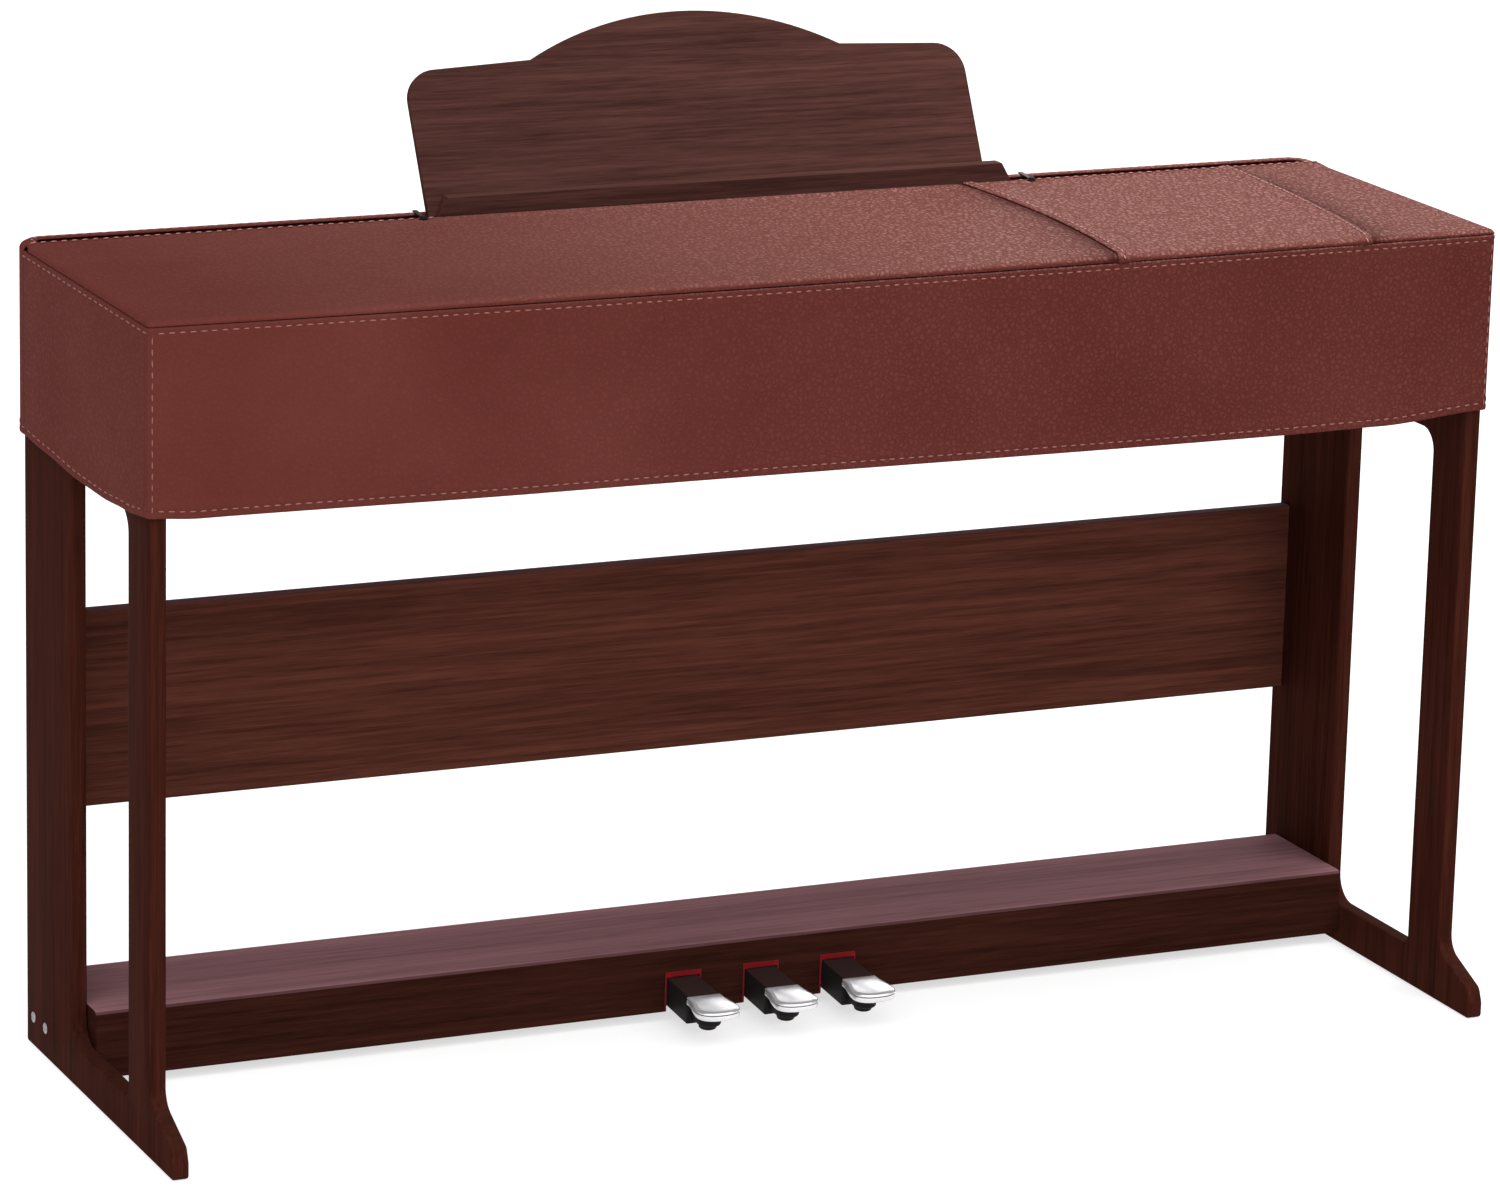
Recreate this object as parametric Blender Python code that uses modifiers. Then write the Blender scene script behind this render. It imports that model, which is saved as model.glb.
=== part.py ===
"""Fitted leathercloth cover on a digital piano: the sewn panels of the cover, and the plain piano they fit.

Metres, +Z up, +X to the player's right, the player's side at -Y. The origin is on the floor,
under the middle of everything that is built.
"""
import bpy
import bmesh
from math import acos, asin, atan2, cos, hypot, pi, radians, sin, sqrt, tan
from mathutils import Matrix, Vector

GAP = 0.0003            # between pieces that touch

# Cover
WIDTH = 1.380           # over the end panels
DEPTH = 0.392           # front panel to rear panel
TOP = 0.787             # upper face of the cover
SEAM = 0.778            # seam between the top panels and the skirt
CLOTH = 0.002           # leathercloth with its backing
ROLL = 0.012            # radius at which the cloth turns down over the case's edge
MID_Y = -0.005          # the cover's middle, which sets the toes and the leaning rest about the origin
SLIT_FROM_MID = 0.160   # front edge of the slit that lets the music rest through
STRIP = 0.016           # strip of cloth behind the slit, out to the rear edge
HEM_RISE = 0.0012       # the folded hems beside the slit stand this proud
LAP = 0.010             # a side top panel runs this far under the middle one
LAP_RISE = 0.0024       # the middle panel's folded edges ride over its neighbours
LAP_FLAT = 0.012
LAP_END = 0.026
FRONT_CORNER = 0.005    # radius of the upright front corners, in plan
FRONT_RETURN = 0.002    # the front panel runs straight back this far past that corner, to its seam
REAR_CORNER = 0.028     # radius of the upright rear corners, in plan
BULGE = 0.0015          # how far the skirt swells between its corners

# Piano
CASE_BOTTOM = 0.617
BOARD = 0.016           # side frames
BACK_BOARD = 0.015
POST_FRONT = MID_Y - 0.1915
WINDOW_FRONT = MID_Y - 0.130
WINDOW_REAR = MID_Y + 0.036
POST_REAR = MID_Y + 0.172
WINDOW_BOTTOM = 0.040
WINDOW_TOP = {"left": 0.600, "right": 0.572}
TOE_TOP = 0.030
TOE_START = 0.054       # height at which the front post begins to slope out into the toe
BACK_BOARD_FRONT = MID_Y + 0.149
BACK_BOARD_LOW = 0.2365
BACK_BOARD_HIGH = 0.4305
PEDAL_BOX_FRONT = MID_Y + 0.010
PEDAL_BOX_LOW = 0.0105
PEDAL_BOX_HIGH = 0.0765
CENTRE_X = 0.018        # the rest and the pedals stand this far right of the cover's middle

# Music rest
REST_HALF = 0.2985
REST_THICK = 0.007
REST_EDGE = 0.001
REST_LEAN = radians(28)
REST_SHOULDER = 0.146   # up the board, at its outer corners
REST_NECK = 0.152       # up the board, where the crown begins
REST_CROWN = 0.194
REST_CROWN_HALF = 0.166
REST_CORNER = 0.031
REST_FOOT_Y = MID_Y + 0.1685    # front face of the board at the height of the cover's top
LEDGE_FRONT = MID_Y + 0.1625
LEDGE_TOP = 0.806
LEDGE_SHIFT = 0.016     # the ledge sits this far right of the board
LEDGE_HALF_TOP = 0.2965
LEDGE_HALF_LOW = 0.3085

# Pedals, as they lie before the lean that they rest at
PEDAL_PITCH = 0.0835
PEDAL_REST = radians(4)     # nose down, at rest
PIVOT_BACK = 0.045      # from the pedal box's front face
PIVOT_Z = 0.040
LEVER_HALF = 0.0168
LEVER_LOW = 0.0190
LEVER_HIGH = 0.0480
LEVER_FRONT = PEDAL_BOX_FRONT - 0.050
CAP_TIP = PEDAL_BOX_FRONT - 0.100
CAP_BACK_HALF = 0.0178
CAP_HALF = 0.0225
CAP_NOSE = 0.017
CAP_LOW = 0.0395
CAP_HIGH = 0.0488
STEM_HALF = 0.0122
STEM_FRONT = PEDAL_BOX_FRONT - 0.078
STEM_LOW = 0.0240
STEM_FOOT_HALF = 0.0075
STEM_FOOT_LOW = 0.0190
PIN_RADIUS = 0.003
SLOT_SIDE = 0.0008      # room beside a lever
SLOT_HIGH = 0.0500
FELT_LINE = 0.0458      # lower edge of the felt over a lever
FELT_BAND = 0.0010      # the felt reaches this far above the slot
FELT_SIDE = 0.0014
FELT_PROUD = 0.0012

HALF = WIDTH / 2
FRONT = MID_Y - DEPTH / 2
BACK = MID_Y + DEPTH / 2
SLIT = MID_Y + SLIT_FROM_MID
STRIP_EDGE = BACK - STRIP
DROP = TOP - SEAM
ROLL_TURN = acos(1 - DROP / ROLL)       # the cloth has turned this far when it meets its seam
ROLL_REACH = ROLL * sin(ROLL_TURN)
ROLL_LENGTH = ROLL * ROLL_TURN
FLAT_X = HALF - ROLL_REACH
FLAT_Y = FRONT + ROLL_REACH
ROLL_STEPS = 4
SKIRT_TOP = SEAM - CLOTH * cos(ROLL_TURN * (1 - 0.5 / ROLL_STEPS)) - GAP
CASE_TOP = TOP - CLOTH - GAP
CASE_SIDE = 0.0040      # from the cover's outer face to the case
CASE_HALF = HALF - CASE_SIDE
# Each curved top seam: its place at the slit, its drift to the right on the way forward, and its bend back left
SEAM_LEFT = (0.2855, 0.040, 0.049)
SEAM_RIGHT = (0.5870, -0.008, 0.0275)
HOOK_LEFT = -0.2895
HOOK_RIGHT = 0.3615

# Hem of the front panel: place along the front, and the hem's height there
HEM_FRONT = [(-HALF, 0.6065), (-0.640, 0.6035), (-0.300, 0.6010), (0.450, 0.5975), (0.570, 0.5985), (HALF, 0.6065)]
# Hem of an end panel: distance back from the front, and the hem's height there
HEM_END = [(0.0, 0.6065), (0.060, 0.6010), (0.125, 0.5978), (0.190, 0.5976), (0.290, 0.6015), (0.360, 0.6040)]

bpy.context.scene.cursor.location = (0, 0, 0)
for old in list(bpy.data.objects):
    bpy.data.objects.remove(old)

parts = bpy.data.collections.new("piano_cover_on_digital_piano")
cutters = bpy.data.collections.new("cutters")
bpy.context.scene.collection.children.link(parts)
bpy.context.scene.collection.children.link(cutters)


def material(name, colour, roughness, metallic=0.0):
    made = bpy.data.materials.new(name)
    made.use_nodes = True
    shader = made.node_tree.nodes["Principled BSDF"]
    shader.inputs["Base Color"].default_value = (*colour, 1)
    shader.inputs["Roughness"].default_value = roughness
    shader.inputs["Metallic"].default_value = metallic
    return made


LEATHER = material("burgundy_leathercloth", (0.120, 0.028, 0.024), 0.55)
WOOD = material("dark_stained_wood", (0.036, 0.010, 0.007), 0.35)
WALNUT = material("walnut_rest", (0.065, 0.026, 0.022), 0.4)
BLACK = material("black_plastic", (0.010, 0.010, 0.011), 0.4)
CHROME = material("polished_metal", (0.80, 0.79, 0.78), 0.12, 1.0)
FELT = material("red_felt", (0.25, 0.010, 0.012), 0.9)


def add(name, mesh, finish, collection=None, smooth_angle=radians(35)):
    """Links a named object for a mesh, in its finish, shaded smooth but for its real edges."""
    mesh.shade_smooth()
    mesh.set_sharp_from_angle(angle=smooth_angle)
    if finish:
        mesh.materials.append(finish)
    made = bpy.data.objects.new(name, mesh)
    (collection or parts).objects.link(made)
    return made


def from_bmesh(name, shape, finish, collection=None):
    mesh = bpy.data.meshes.new(name)
    shape.to_mesh(mesh)
    shape.free()
    return add(name, mesh, finish, collection)


def block(name, low, high, finish, bevel=0.0, pick=None, segments=2, collection=None):
    """A box from its lowest to its highest corner. pick chooses the edges that are rounded."""
    low = Vector(low)
    high = Vector(high)
    shape = bmesh.new()
    bmesh.ops.create_cube(shape, size=1.0)
    bmesh.ops.scale(shape, vec=high - low, verts=shape.verts)
    if bevel:
        edges = [e for e in shape.edges if pick is None or pick(e)]
        bmesh.ops.bevel(shape, geom=edges, offset=bevel, segments=segments, profile=0.5,
                        affect="EDGES", clamp_overlap=True)
    made = from_bmesh(name, shape, finish, collection)
    made.location = (low + high) / 2
    return made


def hide_cutter(tool):
    tool.hide_render = True
    tool.display_type = "WIRE"


def cut(target, tool):
    hide_cutter(tool)
    step = target.modifiers.new(tool.name, "BOOLEAN")
    step.operation = "DIFFERENCE"
    step.object = tool


def rounded(corners, steps=4):
    """A closed outline from corners (a, b, radius), with each radius drawn as a short arc."""
    points = []
    for i, (a, b, radius) in enumerate(corners):
        here = Vector((a, b))
        if radius == 0:
            points.append(here)
            continue
        before = (Vector(corners[i - 1][:2]) - here).normalized()
        after = (Vector(corners[(i + 1) % len(corners)][:2]) - here).normalized()
        half_angle = before.angle(after) / 2
        centre = here + (before + after).normalized() * (radius / sin(half_angle))
        reach = radius / tan(half_angle)
        start = here + before * reach - centre
        end = here + after * reach - centre
        swing = start.angle_signed(end)
        for k in range(steps + 1):
            turn = Matrix.Rotation(-swing * k / steps, 2)
            points.append(centre + turn @ start)
    return points


def plate(name, outlines, thickness, finish, edge=0.0, edge_steps=1):
    """A flat board cut to its outlines, the first the rim and the others holes, with softened edges."""
    curve = bpy.data.curves.new(name, "CURVE")
    curve.dimensions = "2D"
    curve.fill_mode = "BOTH"
    curve.extrude = thickness / 2 - edge
    curve.bevel_depth = edge
    curve.bevel_resolution = edge_steps
    curve.offset = -edge
    for outline in outlines:
        spline = curve.splines.new("POLY")
        spline.points.add(len(outline) - 1)
        for point, (a, b) in zip(spline.points, outline):
            point.co = (a, b, 0, 1)
        spline.use_cyclic_u = True
    drawn = bpy.data.objects.new(name, curve)
    parts.objects.link(drawn)
    bpy.context.view_layer.update()
    mesh = bpy.data.meshes.new_from_object(drawn.evaluated_get(bpy.context.evaluated_depsgraph_get()))
    bpy.data.objects.remove(drawn)
    shape = bmesh.new()
    shape.from_mesh(mesh)
    bmesh.ops.remove_doubles(shape, verts=shape.verts, dist=0.00001)
    bmesh.ops.recalc_face_normals(shape, faces=shape.faces)
    mesh.materials.clear()
    bpy.data.meshes.remove(mesh)
    return from_bmesh(name, shape, finish)


def sheet(name, columns, rows, place, finish, thickness=CLOTH):
    """Cloth whose outer face place(column, row) gives. Its thickness goes inwards."""
    across = len(columns) - 1
    along = len(rows) - 1
    shape = bmesh.new()
    bmesh.ops.create_grid(shape, x_segments=across, y_segments=along, size=1.0)
    for v in shape.verts:
        i = round((v.co.x + 1) / 2 * across)
        j = round((v.co.y + 1) / 2 * along)
        v.co = place(columns[i], rows[j])
    made = from_bmesh(name, shape, finish)
    shell = made.modifiers.new("thickness", "SOLIDIFY")
    shell.thickness = thickness
    shell.offset = -1
    shell.use_even_offset = True
    return made


def smooth(t):
    t = min(max(t, 0.0), 1.0)
    return t * t * (3 - 2 * t)


def along_table(table, at):
    """Reads a height from a short table of (place, height), eased between its rows."""
    for (a, low), (b, high) in zip(table, table[1:]):
        if at <= b:
            return low + (high - low) * smooth((at - a) / (b - a))
    return table[-1][1]


def spread(start, end, count):
    return [start + (end - start) * k / count for k in range(count + 1)]


# Top of the cover

def swell(x, y):
    """The slack cloth stands up to about a millimetre off the case, away from its edges and the slit."""
    inside = smooth((FLAT_X - abs(x)) / 0.10) * smooth((y - FLAT_Y) / 0.08) * smooth((SLIT - y) / 0.05)
    return inside * 0.0005 * (1 + sin(5.1 * x + 0.7) * cos(9 * y + 0.3))


def on_top(x, y, rise=0.0):
    """A point of the top cloth. x and y are measured along the cloth, past the flat round the turned edge."""
    past_x = max(0.0, abs(x) - FLAT_X) / ROLL
    past_y = max(0.0, FLAT_Y - y) / ROLL
    down_x = (1 - cos(past_x)) * ROLL / DROP
    down_y = (1 - cos(past_y)) * ROLL / DROP
    side = 1 if x > 0 else -1
    normal = Vector((side * sin(past_x), -sin(past_y), cos(past_x) * cos(past_y))).normalized()
    corner = FRONT_CORNER * (1 - sqrt(0.5)) * down_x * down_y
    flat = Vector((
        side * (min(abs(x), FLAT_X) + ROLL * sin(past_x) - corner),
        max(y, FLAT_Y) - ROLL * sin(past_y) + corner,
        TOP - DROP * (1 - (1 - down_x) * (1 - down_y)) + swell(x, y),
    ))
    return flat + normal * rise


def seam_x(seam, y):
    """A curved top seam leaves the slit straight forward, then bends left on its way to the front."""
    at_slit, drift, bend = seam
    t = min(max((SLIT - y) / (SLIT - FRONT), 0.0), 1.0)
    return at_slit + drift * t - bend * t * t


def slit_edge(x):
    """The top panels' rear edge, whose outer corners are rounded off."""
    radius = 0.012
    d = min(HALF - abs(x), radius)
    return SLIT - (radius - sqrt(radius ** 2 - (radius - max(d, 0.0)) ** 2))


HEM_FRACTIONS = [0.975, 1.0]
TOP_ROWS = [("roll", k / ROLL_STEPS) for k in range(ROLL_STEPS)] + [("flat", k / 6 * 0.95) for k in range(7)]
TOP_ROWS += [("flat", k) for k in HEM_FRACTIONS]


def top_y(row, x):
    kind, share = row
    if kind == "roll":
        return FLAT_Y - ROLL_LENGTH * (1 - share)
    return FLAT_Y + (slit_edge(x) - FLAT_Y) * share


def hem_rise(row):
    return HEM_RISE if row[0] == "flat" and row[1] > HEM_FRACTIONS[0] - 0.001 else 0.0


def side_top(name, side, seam):
    """A top panel from an end of the piano to its curved seam, and on under the middle panel's edge."""
    spans = 10 if side < 0 else 3
    columns = [("roll", k / ROLL_STEPS) for k in range(ROLL_STEPS)]
    columns += [("flat", k / spans) for k in range(spans + 1)]
    columns += [("lapped", LAP + 0.002), ("lapped", 0.0)]
    if side > 0:
        columns = columns[::-1]

    def place(column, row):
        kind, value = column
        if kind == "roll":
            x = side * (FLAT_X + ROLL_LENGTH * (1 - value))
            return on_top(x, top_y(row, side * HALF))
        inner = seam_x(seam, top_y(row, 0.0)) - side * LAP
        if kind == "lapped":
            x = inner + side * value
            return on_top(x, top_y(row, x))
        near = inner + side * (LAP + 0.010)
        x = side * FLAT_X + (near - side * FLAT_X) * value
        return on_top(x, top_y(row, x), hem_rise(row))

    return sheet(name, columns, TOP_ROWS, place, LEATHER)


def lap_rise(distance):
    return LAP_RISE * (1 - smooth((distance - LAP_FLAT) / (LAP_END - LAP_FLAT)))


def middle_top():
    """The middle top panel, whose two folded edges lie over its neighbours."""
    edge = [0.0, 0.006, LAP_FLAT, 0.019, LAP_END]
    columns = [("left", d) for d in edge] + [("between", k / 5) for k in range(1, 5)]
    columns += [("right", d) for d in edge[::-1]]

    def place(column, row):
        kind, value = column
        y = top_y(row, 0.0)
        left = seam_x(SEAM_LEFT, y)
        right = seam_x(SEAM_RIGHT, y)
        if kind == "left":
            return on_top(left + value, y, max(lap_rise(value), hem_rise(row)))
        if kind == "right":
            return on_top(right - value, y, max(lap_rise(value), hem_rise(row)))
        x = left + LAP_END + (right - left - 2 * LAP_END) * value
        return on_top(x, y, hem_rise(row))

    return sheet("top_panel_middle", columns, TOP_ROWS, place, LEATHER)


# Skirt of the cover

def swelling(share_along, share_up):
    """A skirt panel swells a little between its corners, most near its hem."""
    return BULGE * sin(pi * min(max(share_along, 0), 1)) * sin(pi * (0.15 + 0.6 * (1 - share_up)))


def front_panel():
    straight = HALF - FRONT_CORNER
    columns = [("return", -1, FRONT_RETURN)] + [("arc", -1, pi / 2 * k / 3) for k in range(3, 0, -1)]
    columns += [("front", 0, x) for x in spread(-straight, straight, 26)]
    columns += [("arc", 1, pi / 2 * k / 3) for k in range(1, 4)] + [("return", 1, FRONT_RETURN)]

    def place(column, up):
        kind, side, value = column
        if kind == "front":
            x = value
            y = FRONT - swelling((x + straight) / (2 * straight), up)
        elif kind == "arc":
            x = side * (straight + FRONT_CORNER * sin(value))
            y = FRONT + FRONT_CORNER * (1 - cos(value))
        else:
            x = side * HALF
            y = FRONT + FRONT_CORNER + value
        hem = along_table(HEM_FRONT, x)
        return Vector((x, y, hem + (SKIRT_TOP - hem) * up))

    return sheet("front_panel", columns, spread(0, 1, 6), place, LEATHER)


def end_panel(name, side):
    start = FRONT + FRONT_CORNER + FRONT_RETURN + GAP
    places = spread(start, SLIT - GAP, 9)
    if side < 0:
        places = places[::-1]

    def place(y, up):
        hem = along_table(HEM_END, y - FRONT)
        share = (y - start) / (SLIT - start)
        return Vector((side * (HALF + swelling(share, up)), y, hem + (SKIRT_TOP - hem) * up))

    return sheet(name, places, spread(0, 1, 6), place, LEATHER)


def rear_panel():
    """One band round the back: it turns over the rear edge as a hemmed strip, and wraps both rear corners."""
    corner_y = BACK - REAR_CORNER
    corner_x = HALF - REAR_CORNER
    start = SLIT + GAP
    columns = [("end", 1, start), ("end", 1, (start + corner_y) / 2)]
    columns += [("arc", 1, pi / 2 * k / 6) for k in range(7)]
    columns += [("back", 0, x) for x in spread(corner_x, -corner_x, 22)[1:-1]]
    columns += [("arc", -1, pi / 2 * k / 6) for k in range(6, -1, -1)]
    columns += [("end", -1, (start + corner_y) / 2), ("end", -1, start)]
    rows = [("wall", k / 5) for k in range(5)] + [("turn", pi / 2 * k / 5) for k in range(6)]
    rows += [("strip", STRIP - 0.003), ("strip", STRIP)]

    def place(column, row):
        kind, side, value = column
        part, at = row
        if kind == "end":
            foot = Vector((side * HALF, value, 0))
            outward = Vector((side, 0, 0))
        elif kind == "arc":
            outward = Vector((side * cos(value), sin(value), 0))
            foot = Vector((side * corner_x, corner_y, 0)) + outward * REAR_CORNER
        else:
            foot = Vector((value, BACK, 0))
            outward = Vector((0, 1, 0))
        if part == "wall":
            hem = along_table(HEM_END, foot.y - FRONT)
            inward = 0.0
            z = hem + (TOP - ROLL - hem) * at
        elif part == "turn":
            inward = ROLL * (1 - cos(at))
            z = TOP - ROLL + ROLL * sin(at)
        else:
            inward = at
            z = TOP + (HEM_RISE if at > ROLL else 0.0)
        return foot - outward * inward + Vector((0, 0, z))

    return sheet("rear_panel", columns, rows, place, LEATHER)


def closure(name, x, lean):
    """A small black hook across the slit, and the round button that holds it to the top panel."""
    head = 0.0042
    tail = 0.0030
    reach = 0.0175
    outline = []
    for k in range(11):
        a = radians(-160 + 320 * k / 10)
        outline.append(Vector((head * sin(a), -reach - head * cos(a))))
    for k in range(7):
        a = radians(70 - 140 * k / 6)
        outline.append(Vector((tail * sin(a), reach + tail * cos(a))))
    thickness = 0.0014
    seat = TOP + HEM_RISE + GAP
    middle = Vector((x, (SLIT + STRIP_EDGE) / 2, seat + thickness / 2))
    hook = plate(name, [outline], thickness, BLACK)
    hook.location = middle
    hook.rotation_euler = (0, 0, lean)
    shape = bmesh.new()
    bmesh.ops.create_cone(shape, cap_ends=True, segments=16, radius1=0.0032, radius2=0.0026, depth=0.0018)
    button = from_bmesh(name.replace("hook", "button"), shape, BLACK)
    button.location = middle + Matrix.Rotation(lean, 3, "Z") @ Vector((0, -reach, thickness / 2 + GAP + 0.0009))
    return hook, button


# Piano

def side_frame(name, side):
    """A side board with its window, and a toe that runs forward along the floor."""
    low_corner = 0.026
    rim = rounded([
        (POST_REAR, 0.0, 0.003), (POST_REAR, CASE_BOTTOM - GAP, 0.002), (POST_FRONT, CASE_BOTTOM - GAP, 0.002),
        (POST_FRONT, TOE_START, 0.022), (TOE_FRONT + 0.006, TOE_TOP, 0.010), (TOE_FRONT, TOE_TOP - 0.014, 0.010),
        (TOE_FRONT, 0.0, 0.004),
    ])
    top = WINDOW_TOP[name.split("_")[-1]]
    window = rounded([
        (WINDOW_FRONT, WINDOW_BOTTOM, 0.010), (WINDOW_REAR, WINDOW_BOTTOM, low_corner),
        (WINDOW_REAR, top, 0.012), (WINDOW_FRONT, top, 0.022),
    ])
    frame = plate(name, [rim, window], BOARD, WOOD, edge=0.0025)
    frame.location = (side * (CASE_HALF - BOARD / 2), 0, 0)
    frame.rotation_euler = (pi / 2, 0, pi / 2)
    return frame


def pedal_places():
    return [("left", CENTRE_X - PEDAL_PITCH), ("middle", CENTRE_X), ("right", CENTRE_X + PEDAL_PITCH)]


def pedal_box():
    """A long box between the frames. Each pedal has a pocket in its front, with bores for the pedal's pin."""
    inner = CASE_HALF - BOARD - GAP
    low = (-inner, PEDAL_BOX_FRONT, PEDAL_BOX_LOW)
    high = (inner, BACK_BOARD_FRONT, PEDAL_BOX_HIGH)

    def front_top(edge):
        return all(v.co.y < 0 and v.co.z > 0 for v in edge.verts)

    made = block("pedal_box", low, high, WOOD, bevel=0.006, pick=front_top, segments=3)
    wide = LEVER_HALF + SLOT_SIDE
    for which, x in pedal_places():
        front = (x - wide, PEDAL_BOX_FRONT - 0.010, PEDAL_BOX_LOW - 0.010)
        back = (x + wide, PEDAL_BOX_FRONT + PIVOT_BACK + 0.014, SLOT_HIGH)
        cut(made, block("slot_" + which, front, back, None, collection=cutters))
        cut(made, pin("bore_" + which, x, PIN_RADIUS + GAP, wide + 0.0065, None, cutters))
    return made


def pin(name, x, radius, half_length, finish, collection):
    shape = bmesh.new()
    bmesh.ops.create_cone(shape, cap_ends=True, segments=20, radius1=radius, radius2=radius, depth=2 * half_length)
    bmesh.ops.rotate(shape, verts=shape.verts, matrix=Matrix.Rotation(pi / 2, 3, "Y"))
    made = from_bmesh(name, shape, finish, collection)
    made.location = (x, PEDAL_BOX_FRONT + PIVOT_BACK, PIVOT_Z)
    return made


def cap_outline():
    """A pedal's toe from above: it widens forward from the lever, then rounds off at its nose."""
    shoulder = CAP_NOSE
    length = LEVER_FRONT - GAP - CAP_TIP
    nose = []
    for k in range(13):
        across = cos(pi * k / 12)
        half = CAP_HALF * abs(across) ** 0.8
        nose.append((half if across > 0 else -half, shoulder * (1 - sin(pi * k / 12) ** 0.8)))
    flare = [(0.35, 0.80), (0.70, 0.30), (1.0, 0.0)]
    left = []
    for share, wide in flare:
        half = CAP_BACK_HALF + (CAP_HALF - CAP_BACK_HALF) * wide
        left.append((-half, shoulder + (length - shoulder) * share))
    right = [(-a, b) for a, b in left[::-1]]
    return [Vector(point) for point in nose + left + right]


def pedal(which, x):
    """A black lever on its pin, with a stem under its toe, and a polished cap over it, leaning about the pin."""
    pivot = Vector((x, PEDAL_BOX_FRONT + PIVOT_BACK, PIVOT_Z))

    def low_or_front(edge):
        return all(v.co.z < 0 for v in edge.verts) or all(v.co.y < 0 for v in edge.verts)

    lever = block(
        "pedal_lever_" + which, (x - LEVER_HALF, LEVER_FRONT, LEVER_LOW),
        (x + LEVER_HALF, pivot.y + 0.010, LEVER_HIGH), BLACK, bevel=0.0015)
    stem = block(
        "stem_" + which, (x - STEM_HALF, STEM_FRONT, STEM_LOW),
        (x + STEM_HALF, LEVER_FRONT + 0.010, CAP_LOW - GAP), None, bevel=0.003, pick=low_or_front,
        collection=cutters)
    foot = block(
        "stem_foot_" + which, (x - STEM_FOOT_HALF, STEM_FRONT + 0.004, STEM_FOOT_LOW),
        (x + STEM_FOOT_HALF, LEVER_FRONT - 0.002, STEM_LOW + 0.004), None, bevel=0.003, pick=low_or_front,
        collection=cutters)
    axle = pin("axle_" + which, x, PIN_RADIUS, LEVER_HALF + SLOT_SIDE + 0.006, None, cutters)
    for tool in (stem, foot, axle):
        hide_cutter(tool)
        step = lever.modifiers.new(tool.name, "BOOLEAN")
        step.operation = "UNION"
        step.object = tool
    cap = plate("pedal_cap_" + which, [cap_outline()], CAP_HIGH - CAP_LOW, CHROME, edge=0.0028, edge_steps=2)
    cap.location = (x, CAP_TIP, (CAP_LOW + CAP_HIGH) / 2)
    holder = bpy.data.objects.new("pedal_pivot_" + which, None)
    holder.location = pivot
    parts.objects.link(holder)
    for piece in (lever, cap, stem, foot, axle):
        piece.parent = holder
        piece.matrix_parent_inverse = Matrix.Translation(-pivot)
    holder.rotation_euler = (PEDAL_REST, 0, 0)


def felt(which, x):
    """Red felt round the top and sides of a pedal's slot."""
    inner = LEVER_HALF + SLOT_SIDE
    outer = inner + FELT_SIDE
    low = PEDAL_BOX_LOW + 0.001
    top = SLOT_HIGH + FELT_BAND
    outline = [
        (-outer, low), (-inner, low), (-inner, FELT_LINE), (inner, FELT_LINE),
        (inner, low), (outer, low), (outer, top), (-outer, top),
    ]
    made = plate("felt_" + which, [outline], FELT_PROUD, FELT)
    made.location = (x, PEDAL_BOX_FRONT - GAP - FELT_PROUD / 2, 0)
    made.rotation_euler = (pi / 2, 0, 0)
    return made


def screw(name, side, y):
    shape = bmesh.new()
    bmesh.ops.create_cone(shape, cap_ends=True, segments=16, radius1=0.0055, radius2=0.0038, depth=0.0016)
    bmesh.ops.rotate(shape, verts=shape.verts, matrix=Matrix.Rotation(side * pi / 2, 3, "Y"))
    made = from_bmesh(name, shape, CHROME)
    made.location = (side * (CASE_HALF + GAP + 0.0008), y, 0.030)
    return made


def rest_up(distance, back=0.0):
    """A point of the rest, from its place up the board and back through its thickness: its y and z."""
    y = REST_FOOT_Y + distance * sin(REST_LEAN) + back * cos(REST_LEAN)
    z = TOP + distance * cos(REST_LEAN) - back * sin(REST_LEAN)
    return y, z


TOE_FRONT = -rest_up(REST_CROWN - REST_EDGE, REST_THICK - REST_EDGE)[0] - REST_EDGE


def music_rest():
    """A thin board leaning back out of the slit, with square shoulders and an arched crown."""
    seat = CASE_TOP + GAP
    foot = (seat - TOP + REST_EDGE + (REST_THICK - REST_EDGE) * sin(REST_LEAN)) / cos(REST_LEAN) - REST_EDGE
    rise = REST_CROWN - REST_NECK
    bow = (REST_CROWN_HALF ** 2 + rise ** 2) / (2 * rise)
    half_arc = asin(REST_CROWN_HALF / bow)
    crown = []
    for k in range(17):
        a = half_arc * (1 - k / 8)
        crown.append((bow * sin(a), REST_CROWN - bow * (1 - cos(a)), 0))
    corners = [(-REST_HALF, foot, 0.002), (REST_HALF, foot, 0.002), (REST_HALF, REST_SHOULDER, REST_CORNER)]
    corners += crown
    corners += [(-REST_HALF, REST_SHOULDER, REST_CORNER)]
    board = plate("music_rest_board", [rounded(corners, steps=6)], REST_THICK, WALNUT, edge=REST_EDGE)
    middle_y, middle_z = rest_up(0.0, REST_THICK / 2)
    board.location = (CENTRE_X, middle_y, middle_z)
    board.rotation_euler = (pi / 2 - REST_LEAN, 0, 0)
    return board


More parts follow.
